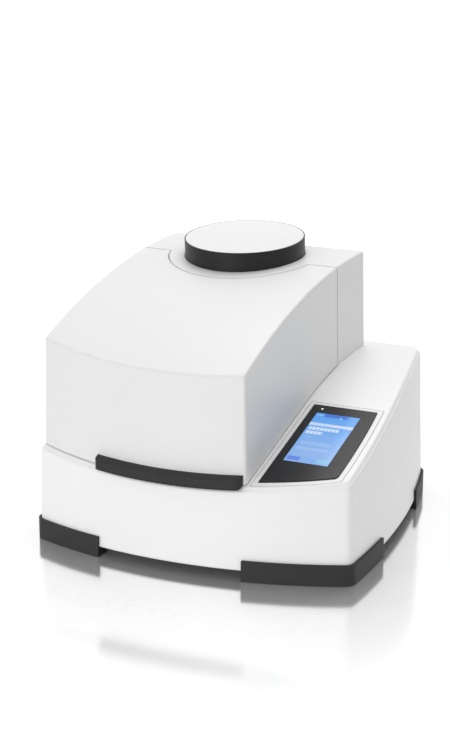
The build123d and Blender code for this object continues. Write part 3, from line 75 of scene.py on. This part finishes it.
class Finish:
    """A procedural material of the mill. Plain values go on the shader's own sockets."""

    def __init__(self, name, **values):
        self.material = bpy.data.materials.new(name)
        self.material.use_nodes = True
        self.tree = self.material.node_tree
        self.shader = self.tree.nodes["Principled BSDF"]
        self.out = self.tree.nodes["Material Output"]
        for socket, value in values.items():
            self.feed(self.shader.inputs[socket.replace("_", " ").title().replace("Ior", "IOR")], value)

    def feed(self, socket, value):
        if isinstance(value, Wire):
            self.tree.links.new(value.socket, socket)
        elif isinstance(value, tuple) and socket.type == "RGBA":
            socket.default_value = (*value, 1.0)
        else:
            socket.default_value = value

    def node(self, kind, settings=None, sockets=None, output=0):
        node = self.tree.nodes.new(kind)
        for name, value in (settings or {}).items():
            setattr(node, name, value)
        for key, value in (sockets or {}).items():
            self.feed(node.inputs[key], value)
        return Wire(self, node.outputs[output])

    def place(self, scale):
        """Object coordinates, in metres, stretched by scale."""
        where = self.node("ShaderNodeTexCoord", output="Object")
        return self.node("ShaderNodeMapping", {}, {"Vector": where, "Scale": scale})

    def noise(self, size, detail=2.0, stretch=(1.0, 1.0, 1.0)):
        """Noise whose patches are about size metres across."""
        return self.node(
            "ShaderNodeTexNoise", {}, {"Vector": self.place(stretch), "Scale": 1 / size, "Detail": detail}
        )

    def mix(self, amount, first, second):
        """Colour between first and second."""
        return self.node(
            "ShaderNodeMix", {"data_type": "RGBA"}, {"Factor": amount, 6: first, 7: second}, output=2
        )

    def relief(self, height, depth, edge=0.0):
        """Grain as bump over edges that are rounded by edge metres."""
        sockets = {"Height": height, "Distance": depth}
        if edge:
            sockets["Normal"] = self.node("ShaderNodeBevel", {"samples": 4}, {"Radius": edge})
        self.feed(self.shader.inputs["Normal"], self.node("ShaderNodeBump", {}, sockets))

    def vary(self, socket, value):
        self.feed(self.shader.inputs[socket], value)


def dress(finish, *nodes):
    """Give these CAD pieces their finish."""
    for name in nodes:
        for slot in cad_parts[name].material_slots:
            slot.material = finish.material


def moulded_white(name, edge, tone):
    """Satin white moulding: faint tone drift, fine eroded grain, soft edges."""
    finish = Finish(name, ior=1.48)
    drift = finish.noise(0.16, 3.0)
    grain = finish.noise(0.0006, 1.0)
    finish.vary("Base Color", finish.mix(drift, (tone, tone, tone), (tone + 0.03, tone + 0.03, tone + 0.03)))
    finish.vary("Roughness", finish.noise(0.02) * 0.1 + 0.33)
    finish.relief(grain, 0.00002, edge)
    return finish


# One white plastic at three tones: the base housing takes the lightest as painted light, the hood and tower
# the darkest as painted shade, and the display panel sits between.
housing_white_painted_light = moulded_white("housing_white_painted_light", 0.005, 0.84)
dress(housing_white_painted_light, "base_housing")
hood_white_painted_shade = moulded_white("hood_white_painted_shade", 0.0035, 0.76)
dress(hood_white_painted_shade, "hood", "rear_tower")
panel_white = moulded_white("panel_white", 0.0012, 0.80)
dress(panel_white, "display_panel")


# Four feet and the grip bar of the hood: charcoal mouldings with a matt, slightly pebbled
# surface. The feet catch a paler line along their edges, and the bar's upper edge is well rounded.
def charcoal(name, edge):
    """Matt charcoal moulding with a pebbled skin over edges rounded by edge metres."""
    finish = Finish(name, ior=1.32)
    pebble = finish.noise(0.0012, 2.0)
    finish.vary("Base Color", finish.mix(finish.noise(0.05), (0.024, 0.024, 0.025), (0.031, 0.031, 0.032)))
    finish.vary("Roughness", pebble * 0.16 + 0.5)
    finish.relief(pebble, 0.00008, edge)
    return finish


trim_charcoal = charcoal("trim_charcoal", 0.0012)
dress(trim_charcoal, "foot_front_left", "foot_front_right", "foot_rear_left", "foot_rear_right")
grip_charcoal = charcoal("grip_charcoal", 0.006)
dress(grip_charcoal, "hood_handle")

# Round cap on the tower: a satin black band with a glossy white domed disc let into it.
band_black = Finish("band_black", ior=1.34)
band_black.vary(
    "Base Color", band_black.mix(band_black.noise(0.04), (0.010, 0.010, 0.011), (0.015, 0.015, 0.016))
)
band_black.vary("Roughness", band_black.noise(0.003) * 0.12 + 0.34)
band_black.relief(band_black.noise(0.0008), 0.00003, 0.0008)
dress(band_black, "cap_ring", "power_rocker")
disc_white = Finish("disc_white", ior=1.5)
disc_white.vary(
    "Base Color", disc_white.mix(disc_white.noise(0.09), (0.765, 0.767, 0.767), (0.79, 0.792, 0.792))
)
disc_white.vary("Roughness", disc_white.noise(0.03) * 0.08 + 0.2)
disc_white.relief(disc_white.noise(0.0006), 0.00001, 0.001)
dress(disc_white, "cap_disc")

# Display: a black glass-smooth frame with a lit touch screen. The picture on the screen is a
# plain layout of bars and blocks in blue under a painted sheen near its front edge, and the
# frame stays bare.
bezel_black = Finish("bezel_black", ior=1.33)
smudge = bezel_black.noise(0.035, 4.0)
bezel_black.vary("Base Color", bezel_black.mix(smudge, (0.005, 0.005, 0.0055), (0.0075, 0.0075, 0.008)))
bezel_black.vary("Roughness", smudge * 0.06 + 0.26)
bezel_black.relief(bezel_black.noise(0.0005), 0.00001, 0.0006)
dress(bezel_black, "display_bezel")

SCREEN_LEFT = 0.159
SCREEN_WIDTH = 0.0844
SCREEN_NEAR = -0.203
SCREEN_LENGTH = 0.153
screen_blue = Finish("screen_blue", base_color=(0.01, 0.02, 0.04), ior=1.5, emission_strength=0.84)
apart = screen_blue.node(
    "ShaderNodeSeparateXYZ", {}, {0: screen_blue.node("ShaderNodeTexCoord", output="Object")}
)
across = (Wire(screen_blue, apart.socket.node.outputs[0]) - SCREEN_LEFT) / SCREEN_WIDTH
along = (Wire(screen_blue, apart.socket.node.outputs[1]) - SCREEN_NEAR) / SCREEN_LENGTH


def soft(value, edge, blur):
    """0 below edge and 1 above it, with a blurred step between."""
    return screen_blue.node(
        "ShaderNodeMapRange",
        {"interpolation_type": "SMOOTHSTEP"},
        {"Value": value, "From Min": edge - blur, "From Max": edge + blur},
    )


def patch(left, right, low, high, blur=0.012):
    """Mask of a rectangle on the screen, in shares of its width and length."""
    return (
        soft(across, left, blur) * (1 - soft(across, right, blur))
        * soft(along, low, blur / 2) * (1 - soft(along, high, blur / 2))
    )


def characters(left, right, low, high, pitch, filled):
    """Mask of a row of equal blocks, as a row of figures looks from a distance."""
    block = ((across - left) % pitch) / pitch
    inside = soft(block, 0.1, 0.09) * (1 - soft(block, 0.1 + filled, 0.09))
    return patch(left, right, low, high) * (inside * 0.75 + 0.25)


picture = screen_blue.mix(along, (0.24, 0.46, 0.90), (0.07, 0.36, 0.90))
# Painted sheen: a paler wash over the near part of the screen, strongest at the front edge and gone by three
# quarters of its length.
painted_sheen = screen_blue.node(
    "ShaderNodeMapRange",
    {},
    {"Value": along, "From Min": 0.0, "From Max": 0.75, "To Min": 0.9, "To Max": 0.0},
)
picture = screen_blue.mix(painted_sheen * patch(0.0, 1.0, 0.1, 0.62, 0.1), picture, (0.30, 0.50, 0.88))
for mask, colour in (
    (patch(0.2, 0.75, 0.935, 1.0, 0.05), (0.02, 0.13, 0.68)),
    (characters(0.05, 0.20, 0.945, 0.97, 0.05, 0.5), (0.36, 0.60, 0.95)),
    (patch(0.57, 0.62, 0.93, 0.95), (0.6, 0.76, 0.98)),
    (patch(0.0, 1.0, 0.745, 0.80), (0.60, 0.74, 0.96)),
    (patch(0.56, 0.70, 0.755, 0.79, 0.04), (0.84, 0.78, 0.85)),
    (characters(0.04, 0.74, 0.655, 0.715, 0.088, 0.8), (0.66, 0.80, 0.98)),
    (characters(0.04, 0.42, 0.57, 0.63, 0.088, 0.8), (0.66, 0.80, 0.98)),
    (characters(0.08, 0.26, 0.50, 0.52, 0.045, 0.7), (0.34, 0.58, 0.95)),
    (characters(0.10, 0.76, 0.355, 0.415, 0.074, 0.7), (0.34, 0.55, 0.93)),
    (characters(0.08, 0.80, 0.245, 0.30, 0.06, 0.7), (0.38, 0.57, 0.93)),
    (patch(0.04, 0.32, 0.03, 0.105), (0.11, 0.24, 0.80)),
    (patch(0.70, 0.98, 0.03, 0.115), (0.27, 0.60, 0.87)),
):
    picture = screen_blue.mix(mask, picture, colour)
screen_blue.vary("Emission Color", picture)
screen_blue.vary("Roughness", screen_blue.noise(0.03, 3.0) * 0.1 + 0.12)
dress(screen_blue, "display_screen")

lamp_clear = Finish("lamp_clear", ior=1.5, emission_strength=0.6)
glow = lamp_clear.mix(lamp_clear.noise(0.002), (0.80, 0.88, 0.92), (0.92, 0.97, 1.0))
lamp_clear.vary("Base Color", glow)
lamp_clear.vary("Emission Color", glow)
dress(lamp_clear, "status_lamp")


# Sheet metal parts: motor bracket, latch and hinge brackets in zinc-plated steel, whose crystals
# show as pale and dark patches.
def metal(name, dark, light, size, rough, stretch=(1.0, 1.0, 1.0), depth=0.00002):
    """Metal with its own tone drift and the lines that its making leaves along stretch."""
    finish = Finish(name, metallic=1.0)
    lines = finish.noise(size, 2.0, stretch)
    finish.vary("Base Color", finish.mix(finish.noise(0.05, 3.0), dark, light))
    finish.vary("Roughness", lines * 0.14 + rough)
    finish.relief(lines, depth, 0.0006)
    return finish


zinc_sheet = metal("zinc_sheet", (0.42, 0.43, 0.44), (0.56, 0.57, 0.58), 0.012, 0.36)
dress(zinc_sheet, "motor_bracket", "latch_housing", "hinge_brackets", "frame_bolts")

# Chamber tray: drawn stainless sheet with brushed lines across the machine.
stainless_tray = metal(
    "stainless_tray", (0.56, 0.57, 0.57), (0.66, 0.67, 0.67), 0.02, 0.3, (0.04, 1.0, 1.0)
)
dress(stainless_tray, "chamber_tray")

# Turned and ground steel of the cranks, the hinge arms and the latch bolt.
ground_steel = metal("ground_steel", (0.50, 0.50, 0.51), (0.60, 0.60, 0.61), 0.004, 0.22, (1.0, 1.0, 8.0))
dress(
    ground_steel,
    "crank_left",
    "crank_right",
    "idler_left",
    "idler_right",
    "hinge_arms",
    "latch_bolt",
)

# Grinding jars and lids: turned stainless steel, with fine rings round the jar's axis.
jar_steel = metal(
    "jar_steel", (0.60, 0.60, 0.61), (0.66, 0.66, 0.67), 0.0015, 0.22, (0.02, 0.02, 1.0), 0.000004
)
dress(jar_steel, "jar_left", "jar_right", "jar_lid_left", "jar_lid_right")


# Jar lids: a band of fine ribs round the rim for the fingers, and a red silicone ring that is let
# into the spigot and seals the jar.
def add_piece(name, mesh, finish, body):
    """Make an object of a closed mesh that rides on a body of the frame."""
    bmesh.ops.remove_doubles(mesh, verts=mesh.verts, dist=1e-6)
    bmesh.ops.recalc_face_normals(mesh, faces=mesh.faces)
    data = bpy.data.meshes.new(name)
    mesh.to_mesh(data)
    mesh.free()
    data.materials.append(finish.material)
    piece = bpy.data.objects.new(name, data)
    bpy.context.collection.objects.link(piece)
    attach(piece, body)


def turned_ring(corners, width, height, radius, centre, steps):
    """A ring turned about an upright axis: its section has these corners, width and height."""
    mesh = bmesh.new()
    outline = bmesh.ops.create_circle(mesh, segments=corners, radius=0.5)["verts"]
    half = math.pi / corners
    grow = 1 / math.cos(half)
    bmesh.ops.rotate(mesh, verts=outline, matrix=Matrix.Rotation(half, 3, "Z"))
    bmesh.ops.rotate(mesh, verts=outline, matrix=Matrix.Rotation(math.pi / 2, 3, "X"))
    bmesh.ops.scale(mesh, verts=outline, vec=(width * grow, 1.0, height * grow))
    bmesh.ops.translate(mesh, verts=outline, vec=Vector(centre) + Vector((radius, 0.0, 0.0)))
    bmesh.ops.spin(
        mesh,
        geom=outline + list(mesh.edges),
        cent=centre,
        axis=(0.0, 0.0, 1.0),
        angle=2 * math.pi,
        steps=steps,
        use_merge=True,
    )
    return mesh


LID_RADIUS = 0.045
SPIGOT_RADIUS = 0.0327
GRIP_HEIGHT = 0.012
RIB_BAND_DROP = 0.008
RIB_BAND_WIDTH = 0.0024
RIB_BAND_HEIGHT = 0.0105
RIB_STEPS = 96
RIB_EDGE = 0.0005
RIB_RISE = 0.0007
SEAL_WIDTH = 0.0014
SEAL_HEIGHT = 0.0018
SEAL_LET_IN = 0.0005
SEAL_LIFT = 0.002
silicone_red = Finish("silicone_red", ior=1.42)
silicone_red.vary(
    "Base Color", silicone_red.mix(silicone_red.noise(0.01), (0.36, 0.03, 0.02), (0.44, 0.045, 0.03))
)
silicone_red.vary("Roughness", silicone_red.noise(0.002) * 0.1 + 0.45)
for side in ("left", "right"):
    low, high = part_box(f"jar_lid_{side}")
    middle = [(a + b) / 2 for a, b in zip(low, high)]
    rim_middle = (middle[0], middle[1], high[2] - GRIP_HEIGHT - RIB_BAND_DROP)
    band = turned_ring(4, RIB_BAND_WIDTH, RIB_BAND_HEIGHT, LID_RADIUS, rim_middle, RIB_STEPS)
    outside = [
        face for face in band.faces
        if (face.calc_center_median() - Vector(rim_middle)).length > LID_RADIUS + RIB_BAND_WIDTH / 3
    ]
    bmesh.ops.inset_individual(band, faces=outside, thickness=RIB_EDGE, depth=RIB_RISE)
    add_piece(f"lid_ribs_{side}", band, jar_steel, f"lid_{side}")
    spigot_foot = (middle[0], middle[1], low[2] + SEAL_LIFT)
    ring = turned_ring(12, SEAL_WIDTH, SEAL_HEIGHT, SPIGOT_RADIUS - SEAL_LET_IN, spigot_foot, 64)
    add_piece(f"lid_seal_{side}", ring, silicone_red, f"lid_{side}")

# Jar holders, pulleys and radiator: anodised and bare aluminium.
anodised = metal("anodised", (0.55, 0.56, 0.58), (0.66, 0.67, 0.69), 0.003, 0.34)
dress(anodised, "holder_left", "holder_right", "pulley_left", "pulley_right", "motor_pulley", "radiator")


# Socket screws: four hold each jar holder's block to its carrier plate, and two more go through the
# carrier into the rear hub. They are blackened steel with a six-sided socket.
def seat(node, start, way):
    """Point and outward direction where a ray from start meets a CAD piece."""
    hit, place, normal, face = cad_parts[node].ray_cast(Vector(start), Vector(way))
    assert hit, node
    return place, normal


def socket_screw(mesh, place, normal, radius, height):
    """Add a screw head that stands on place and looks along normal."""
    socket = radius * 0.5
    profile = (
        (0.0, height * 0.4),
        (socket, height * 0.4),
        (socket, height),
        (radius * 0.84, height),
        (radius, height * 0.8),
        (radius, 0.0),
        (0.0, 0.0),
    )
    corners = [mesh.verts.new((across, 0.0, up)) for across, up in profile]
    lines = [mesh.edges.new(pair) for pair in zip(corners, corners[1:])]
    bmesh.ops.spin(
        mesh,
        geom=corners + lines,
        cent=(0, 0, 0),
        axis=(0, 0, 1),
        angle=2 * math.pi,
        steps=24,
        use_merge=True,
    )
    mesh.verts.ensure_lookup_table()
    head = [corner for corner in mesh.verts if not corner.tag]
    for corner in head:
        reach = math.hypot(corner.co.x, corner.co.y)
        if abs(reach - socket) < 1e-6:
            turn = math.atan2(corner.co.y, corner.co.x) % math.radians(60) - math.radians(30)
            side = math.cos(math.radians(30)) / math.cos(turn)
            corner.co.x *= side
            corner.co.y *= side
        corner.tag = True
    bmesh.ops.rotate(mesh, verts=head, matrix=normal.to_track_quat("Z", "Y").to_matrix())
    bmesh.ops.translate(mesh, verts=head, vec=place)


blackened = Finish("blackened", ior=1.5, metallic=0.6)
blackened.vary("Base Color", blackened.mix(blackened.noise(0.004), (0.03, 0.03, 0.032), (0.06, 0.06, 0.062)))
blackened.vary("Roughness", blackened.noise(0.001) * 0.2 + 0.34)
SCREW_HEAD = (0.0042, 0.0036)
BLOCK_SCREW = 0.048
REAR_SCREW = 0.036
REAR_SCREW_BACK = 0.112
for side in ("left", "right"):
    low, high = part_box(f"jar_{side}")
    centre = Vector(((low[0] + high[0]) / 2, (low[1] + high[1]) / 2, high[2]))
    screws = bmesh.new()
    for across, back in ((-1, -1), (-1, 1), (1, -1), (1, 1)):
        start = centre + Vector((across * BLOCK_SCREW, back * BLOCK_SCREW, 0.0))
        socket_screw(screws, *seat(f"holder_{side}", start, (0, 0, -1)), *SCREW_HEAD)
    for across in (-1, 1):
        start = centre + Vector((across * REAR_SCREW, REAR_SCREW_BACK, 0.0))
        socket_screw(screws, *seat(f"holder_{side}", start, (0, 0, -1)), *SCREW_HEAD)
    add_piece(f"holder_screws_{side}", screws, blackened, f"holder_{side}")

# Drive frame and motor: castings in grey paint with the orange-peel of a thick coat.
grey_paint = Finish("grey_paint", ior=1.5)
peel = grey_paint.noise(0.004, 3.0)
grey_paint.vary(
    "Base Color", grey_paint.mix(grey_paint.noise(0.06), (0.12, 0.125, 0.13), (0.16, 0.165, 0.17))
)
grey_paint.vary("Roughness", peel * 0.2 + 0.4)
grey_paint.relief(peel, 0.0002, 0.0015)
dress(grey_paint, "drive_frame", "motor_housing", "power_unit")

# Rubber: mounts, belt and chamber seal, matt with a fine bloom.
rubber = Finish("rubber", ior=1.45)
bloom = rubber.noise(0.01, 4.0)
rubber.vary("Base Color", rubber.mix(bloom, (0.018, 0.018, 0.018), (0.035, 0.035, 0.034)))
rubber.vary("Roughness", bloom * 0.15 + 0.68)
rubber.relief(rubber.noise(0.0009), 0.00005, 0.0008)
dress(rubber, "frame_mounts", "drive_belt")
seal_grey = Finish("seal_grey", ior=1.45)
seal_bloom = seal_grey.noise(0.01, 4.0)
seal_grey.vary("Base Color", seal_grey.mix(seal_bloom, (0.14, 0.14, 0.145), (0.19, 0.19, 0.195)))
seal_grey.vary("Roughness", seal_bloom * 0.15 + 0.6)
seal_grey.relief(seal_grey.noise(0.0009), 0.00005, 0.001)
dress(seal_grey, "chamber_seal")

# Black technical plastic: levers, latch block, pump, fan, vent and mains inlet. The bottom plate
# takes the same black as painted shade, which darkens the recess under the base.
technical_black_and_painted_shade = Finish("technical_black_and_painted_shade", ior=1.48)
ripple = technical_black_and_painted_shade.noise(0.0015, 2.0)
technical_black_and_painted_shade.vary(
    "Base Color",
    technical_black_and_painted_shade.mix(technical_black_and_painted_shade.noise(0.04), (0.026, 0.026, 0.027), (0.036, 0.036, 0.037)),
)
technical_black_and_painted_shade.vary("Roughness", ripple * 0.15 + 0.4)
technical_black_and_painted_shade.relief(ripple, 0.00005, 0.0006)
dress(
    technical_black_and_painted_shade,
    "clamp_lever_left",
    "clamp_lever_right",
    "latch_block",
    "coolant_pump",
    "fan_shroud",
    "fan_rotor",
    "rear_vent",
    "power_inlet",
    # painted shade: the bottom plate is black to darken the recess under the base
    "bottom_plate",
)

# Sleeve on each clamp lever: soft black rubber with cross ribs, pushed over the flat steel bar.
SLEEVE_LENGTH = 0.040
SLEEVE_DEPTH = 0.0134
SLEEVE_HEIGHT = 0.0154
SLEEVE_ROUND = 0.002
SLEEVE_RIBS = 9
SLEEVE_PLAIN_END = 0.004
SLEEVE_OVERHANG = 0.001
for side in ("left", "right"):
    low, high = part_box(f"clamp_lever_{side}")
    sleeve = bmesh.new()
    block = bmesh.ops.create_cube(sleeve, size=1.0)["verts"]
    bmesh.ops.scale(sleeve, verts=block, vec=(SLEEVE_LENGTH, SLEEVE_DEPTH, SLEEVE_HEIGHT))
    bmesh.ops.bevel(
        sleeve,
        geom=list(sleeve.edges),
        offset=SLEEVE_ROUND,
        offset_type="OFFSET",
        affect="EDGES",
        segments=3,
        profile=0.5,
        material=-1,
    )
    rib = (SLEEVE_LENGTH - 2 * SLEEVE_PLAIN_END) / (2 * SLEEVE_RIBS)
    for step in range(2 * SLEEVE_RIBS + 1):
        bmesh.ops.bisect_plane(
            sleeve,
            geom=list(sleeve.verts) + list(sleeve.edges) + list(sleeve.faces),
            plane_co=(-SLEEVE_RIBS * rib + step * rib, 0.0, 0.0),
            plane_no=(1.0, 0.0, 0.0),
        )
    raised = [
        face for face in sleeve.faces
        if abs(face.normal.x) < 0.1
        and abs(face.calc_center_median().x) < SLEEVE_RIBS * rib
        and int((face.calc_center_median().x + SLEEVE_RIBS * rib) / rib) % 2 == 0
    ]
    bmesh.ops.inset_region(sleeve, faces=raised, thickness=0.0002, depth=0.0005, use_even_offset=True)
    sleeve_x = high[0] - SLEEVE_LENGTH / 2 + SLEEVE_OVERHANG
    place = (sleeve_x, (low[1] + high[1]) / 2, (low[2] + high[2]) / 2)
    bmesh.ops.translate(sleeve, verts=sleeve.verts, vec=place)
    add_piece(f"lever_sleeve_{side}", sleeve, rubber, f"lever_{side}")

# Back of the mill: socket screws at the corners of the vent and of the tower, which hold the louvre
# and the tower's rear wall.
BEHIND = 1.0
VENT_SCREW_HEAD = (0.0032, 0.0022)
VENT_SCREW_INSET = 0.005
TOWER_SCREW_HEAD = (0.0045, 0.003)
TOWER_SCREW_INSET = 0.022
TOWER_SCREW_LOW = 0.315
TOWER_SCREW_DROP = 0.035
rear_screws = bmesh.new()
low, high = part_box("rear_vent")
for x in (low[0] + VENT_SCREW_INSET, high[0] - VENT_SCREW_INSET):
    for z in (low[2] + VENT_SCREW_INSET, high[2] - VENT_SCREW_INSET):
        socket_screw(rear_screws, *seat("rear_vent", (x, BEHIND, z), (0, -1, 0)), *VENT_SCREW_HEAD)
low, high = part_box("rear_tower")
for x in (low[0] + TOWER_SCREW_INSET, high[0] - TOWER_SCREW_INSET):
    for z in (TOWER_SCREW_LOW, high[2] - TOWER_SCREW_DROP):
        socket_screw(rear_screws, *seat("rear_tower", (x, BEHIND, z), (0, -1, 0)), *TOWER_SCREW_HEAD)
add_piece("rear_screws", rear_screws, blackened, "base")

# Mains inlet: the fuse drawer between socket and switch, and the ring and bar printed in white on
# the switch's two halves.
DRAWER_SIZE = (0.021, 0.0058, 0.0018)
DRAWER_Z = 0.0896
MARK_LINE = 0.0006
MARK_RELIEF = 0.0004
MARK_RING = 0.0016
MARK_BAR = 0.0036
MARK_INSET = 0.0055
low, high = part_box("power_inlet")
inlet_x = (low[0] + high[0]) / 2
drawer = bmesh.new()
front = bmesh.ops.create_cube(drawer, size=1.0)["verts"]
bmesh.ops.scale(drawer, verts=front, vec=DRAWER_SIZE)
bmesh.ops.bevel(
    drawer, geom=list(drawer.edges), offset=0.0004, offset_type="OFFSET", affect="EDGES", segments=2,
    profile=0.5, material=-1,
)
place, normal = seat("power_inlet", (inlet_x, BEHIND, DRAWER_Z), (0, -1, 0))
bmesh.ops.rotate(drawer, verts=drawer.verts, matrix=normal.to_track_quat("Z", "Y").to_matrix())
bmesh.ops.translate(drawer, verts=drawer.verts, vec=place)
add_piece("fuse_drawer", drawer, technical_black_and_painted_shade, "base")

print_white = Finish("print_white", ior=1.45)
print_white.vary(
    "Base Color", print_white.mix(print_white.noise(0.001), (0.72, 0.72, 0.72), (0.82, 0.82, 0.82))
)
print_white.vary("Roughness", print_white.noise(0.0005) * 0.1 + 0.5)
low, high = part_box("power_rocker")
marks = turned_ring(4, MARK_LINE, MARK_RELIEF, MARK_RING, (0.0, 0.0, 0.0), 24)
place, normal = seat("power_rocker", (inlet_x, BEHIND, low[2] + MARK_INSET), (0, -1, 0))
ring_verts = list(marks.verts)
bmesh.ops.rotate(marks, verts=ring_verts, matrix=normal.to_track_quat("Z", "Y").to_matrix())
bmesh.ops.translate(marks, verts=ring_verts, vec=place)
bar = bmesh.ops.create_cube(marks, size=1.0)["verts"]
bmesh.ops.scale(marks, verts=bar, vec=(MARK_LINE, MARK_RELIEF, MARK_BAR))
place, normal = seat("power_rocker", (inlet_x, BEHIND, high[2] - MARK_INSET), (0, -1, 0))
bmesh.ops.translate(marks, verts=bar, vec=place)
add_piece("switch_marks", marks, print_white, "rocker")

# Coolant tank: milky blown plastic, and the control board in green lacquer.
milky = Finish("milky", ior=1.5, subsurface_weight=0.2)
milky.vary("Base Color", milky.mix(milky.noise(0.05, 3.0), (0.62, 0.65, 0.64), (0.72, 0.74, 0.73)))
milky.vary("Roughness", milky.noise(0.02) * 0.1 + 0.35)
milky.relief(milky.noise(0.004), 0.0001, 0.004)
dress(milky, "water_tank")
board_green = Finish("board_green", ior=1.5)
tracks = board_green.noise(0.003, 1.0, (1.0, 0.2, 1.0))
board_green.vary("Base Color", board_green.mix(tracks > 0.5, (0.015, 0.12, 0.04), (0.03, 0.19, 0.07)))
board_green.vary("Roughness", tracks * 0.2 + 0.3)
board_green.relief(tracks > 0.5, 0.00005)
dress(board_green, "control_board")

# Studio: a white glossy floor that mirrors the feet and turns matt further out, wide soft lamps
# and a white surround.
MIRROR_REACH = 0.40
MATT_REACH = 0.90
FADE_START = 1.0
FADE_END = 3.5
floor_white = Finish("floor_white")
seen = floor_white.node("ShaderNodeLightPath", output="Is Camera Ray")
spot = floor_white.node("ShaderNodeTexCoord", output="Object")
reach = floor_white.node("ShaderNodeVectorMath", {"operation": "LENGTH"}, {0: spot}, output="Value")
polish = floor_white.node(
    "ShaderNodeMapRange",
    {"interpolation_type": "SMOOTHSTEP"},
    {"Value": reach, "From Min": MIRROR_REACH, "From Max": MATT_REACH, "To Min": 0.80, "To Max": 0.10},
)
matt = floor_white.node("ShaderNodeBsdfDiffuse", {}, {"Color": (0.95, 0.95, 0.95)})
mirror = floor_white.node("ShaderNodeBsdfGlossy", {}, {"Color": (1.0, 1.0, 1.0), "Roughness": 0.12})
shine = floor_white.node("ShaderNodeMixShader", {}, {0: polish, 1: matt, 2: mirror})
near_lift = floor_white.node(
    "ShaderNodeMapRange",
    {},
    {"Value": reach, "From Min": MIRROR_REACH, "From Max": MATT_REACH, "To Min": 0.028, "To Max": 0.21},
)
far_lift = floor_white.node(
    "ShaderNodeMapRange",
    {},
    {"Value": reach, "From Min": FADE_START, "From Max": FADE_END, "To Min": 0.0, "To Max": 0.5},
)
lift = floor_white.node("ShaderNodeEmission", {}, {"Strength": seen * (near_lift + far_lift)})
glowing = floor_white.node("ShaderNodeAddShader", {}, {0: shine, 1: lift})
floor_white.feed(floor_white.out.inputs["Surface"], glowing)
FLOOR_HALF = 30.0
sheet = bmesh.new()
bmesh.ops.create_grid(sheet, x_segments=8, y_segments=8, size=FLOOR_HALF)
floor_mesh = bpy.data.meshes.new("studio_floor")
sheet.to_mesh(floor_mesh)
sheet.free()
floor_mesh.materials.append(floor_white.material)
floor = bpy.data.objects.new("studio_floor", floor_mesh)
bpy.context.collection.objects.link(floor)

AMBIENT = 0.57
world = bpy.data.worlds.new("studio_air")
bpy.context.scene.world = world
world.use_nodes = True
air = world.node_tree
path = air.nodes.new("ShaderNodeLightPath")
direct = air.nodes.new("ShaderNodeMath")
direct.operation = "MAXIMUM"
air.links.new(path.outputs["Is Camera Ray"], direct.inputs[0])
air.links.new(path.outputs["Is Glossy Ray"], direct.inputs[1])
clear = air.nodes.new("ShaderNodeMath")
clear.operation = "MAXIMUM"
air.links.new(direct.outputs[0], clear.inputs[0])
air.links.new(path.outputs["Is Transmission Ray"], clear.inputs[1])
level = air.nodes.new("ShaderNodeMath")
level.operation = "MULTIPLY_ADD"
air.links.new(clear.outputs[0], level.inputs[0])
level.inputs[1].default_value = 1.0 - AMBIENT
level.inputs[2].default_value = AMBIENT
air.nodes["Background"].inputs["Color"].default_value = (1.0, 1.0, 1.0, 1.0)
air.links.new(level.outputs[0], air.nodes["Background"].inputs["Strength"])


def soft_lamp(name, place, aim, size, power):
    """A square softbox at place that faces aim."""
    lamp = bpy.data.lights.new(name, "AREA")
    lamp.shape = "SQUARE"
    lamp.size = size
    lamp.energy = power
    stand = bpy.data.objects.new(name, lamp)
    stand.location = place
    stand.rotation_euler = (Vector(aim) - Vector(place)).to_track_quat("-Z", "Y").to_euler()
    bpy.context.collection.objects.link(stand)


soft_lamp("lamp_front_left", (-0.6, -3.5, 1.1), (0.0, 0.0, 0.2), 2.2, 39.5)
soft_lamp("lamp_top", (-0.1, 1.0, 3.0), (0.1, 0.0, 0.3), 2.0, 42.0)

# Camera: set from the edges of the photograph.
LENS = 93.39
AZIMUTH = math.radians(25.46)
ELEVATION = math.radians(16.25)
DISTANCE = 3.70
TARGET = Vector((-0.0516, 0.0, 0.2724))
shot = bpy.data.cameras.new("camera")
shot.lens = LENS
shot.sensor_width = 36.0
camera = bpy.data.objects.new("camera", shot)
sight = Vector(
    (
        math.sin(AZIMUTH) * math.cos(ELEVATION),
        -math.cos(AZIMUTH) * math.cos(ELEVATION),
        math.sin(ELEVATION),
    )
)
camera.location = TARGET + DISTANCE * sight
camera.rotation_euler = sight.to_track_quat("Z", "Y").to_euler()
bpy.context.collection.objects.link(camera)
bpy.context.scene.camera = camera
bpy.context.scene.view_settings.view_transform = "Standard"
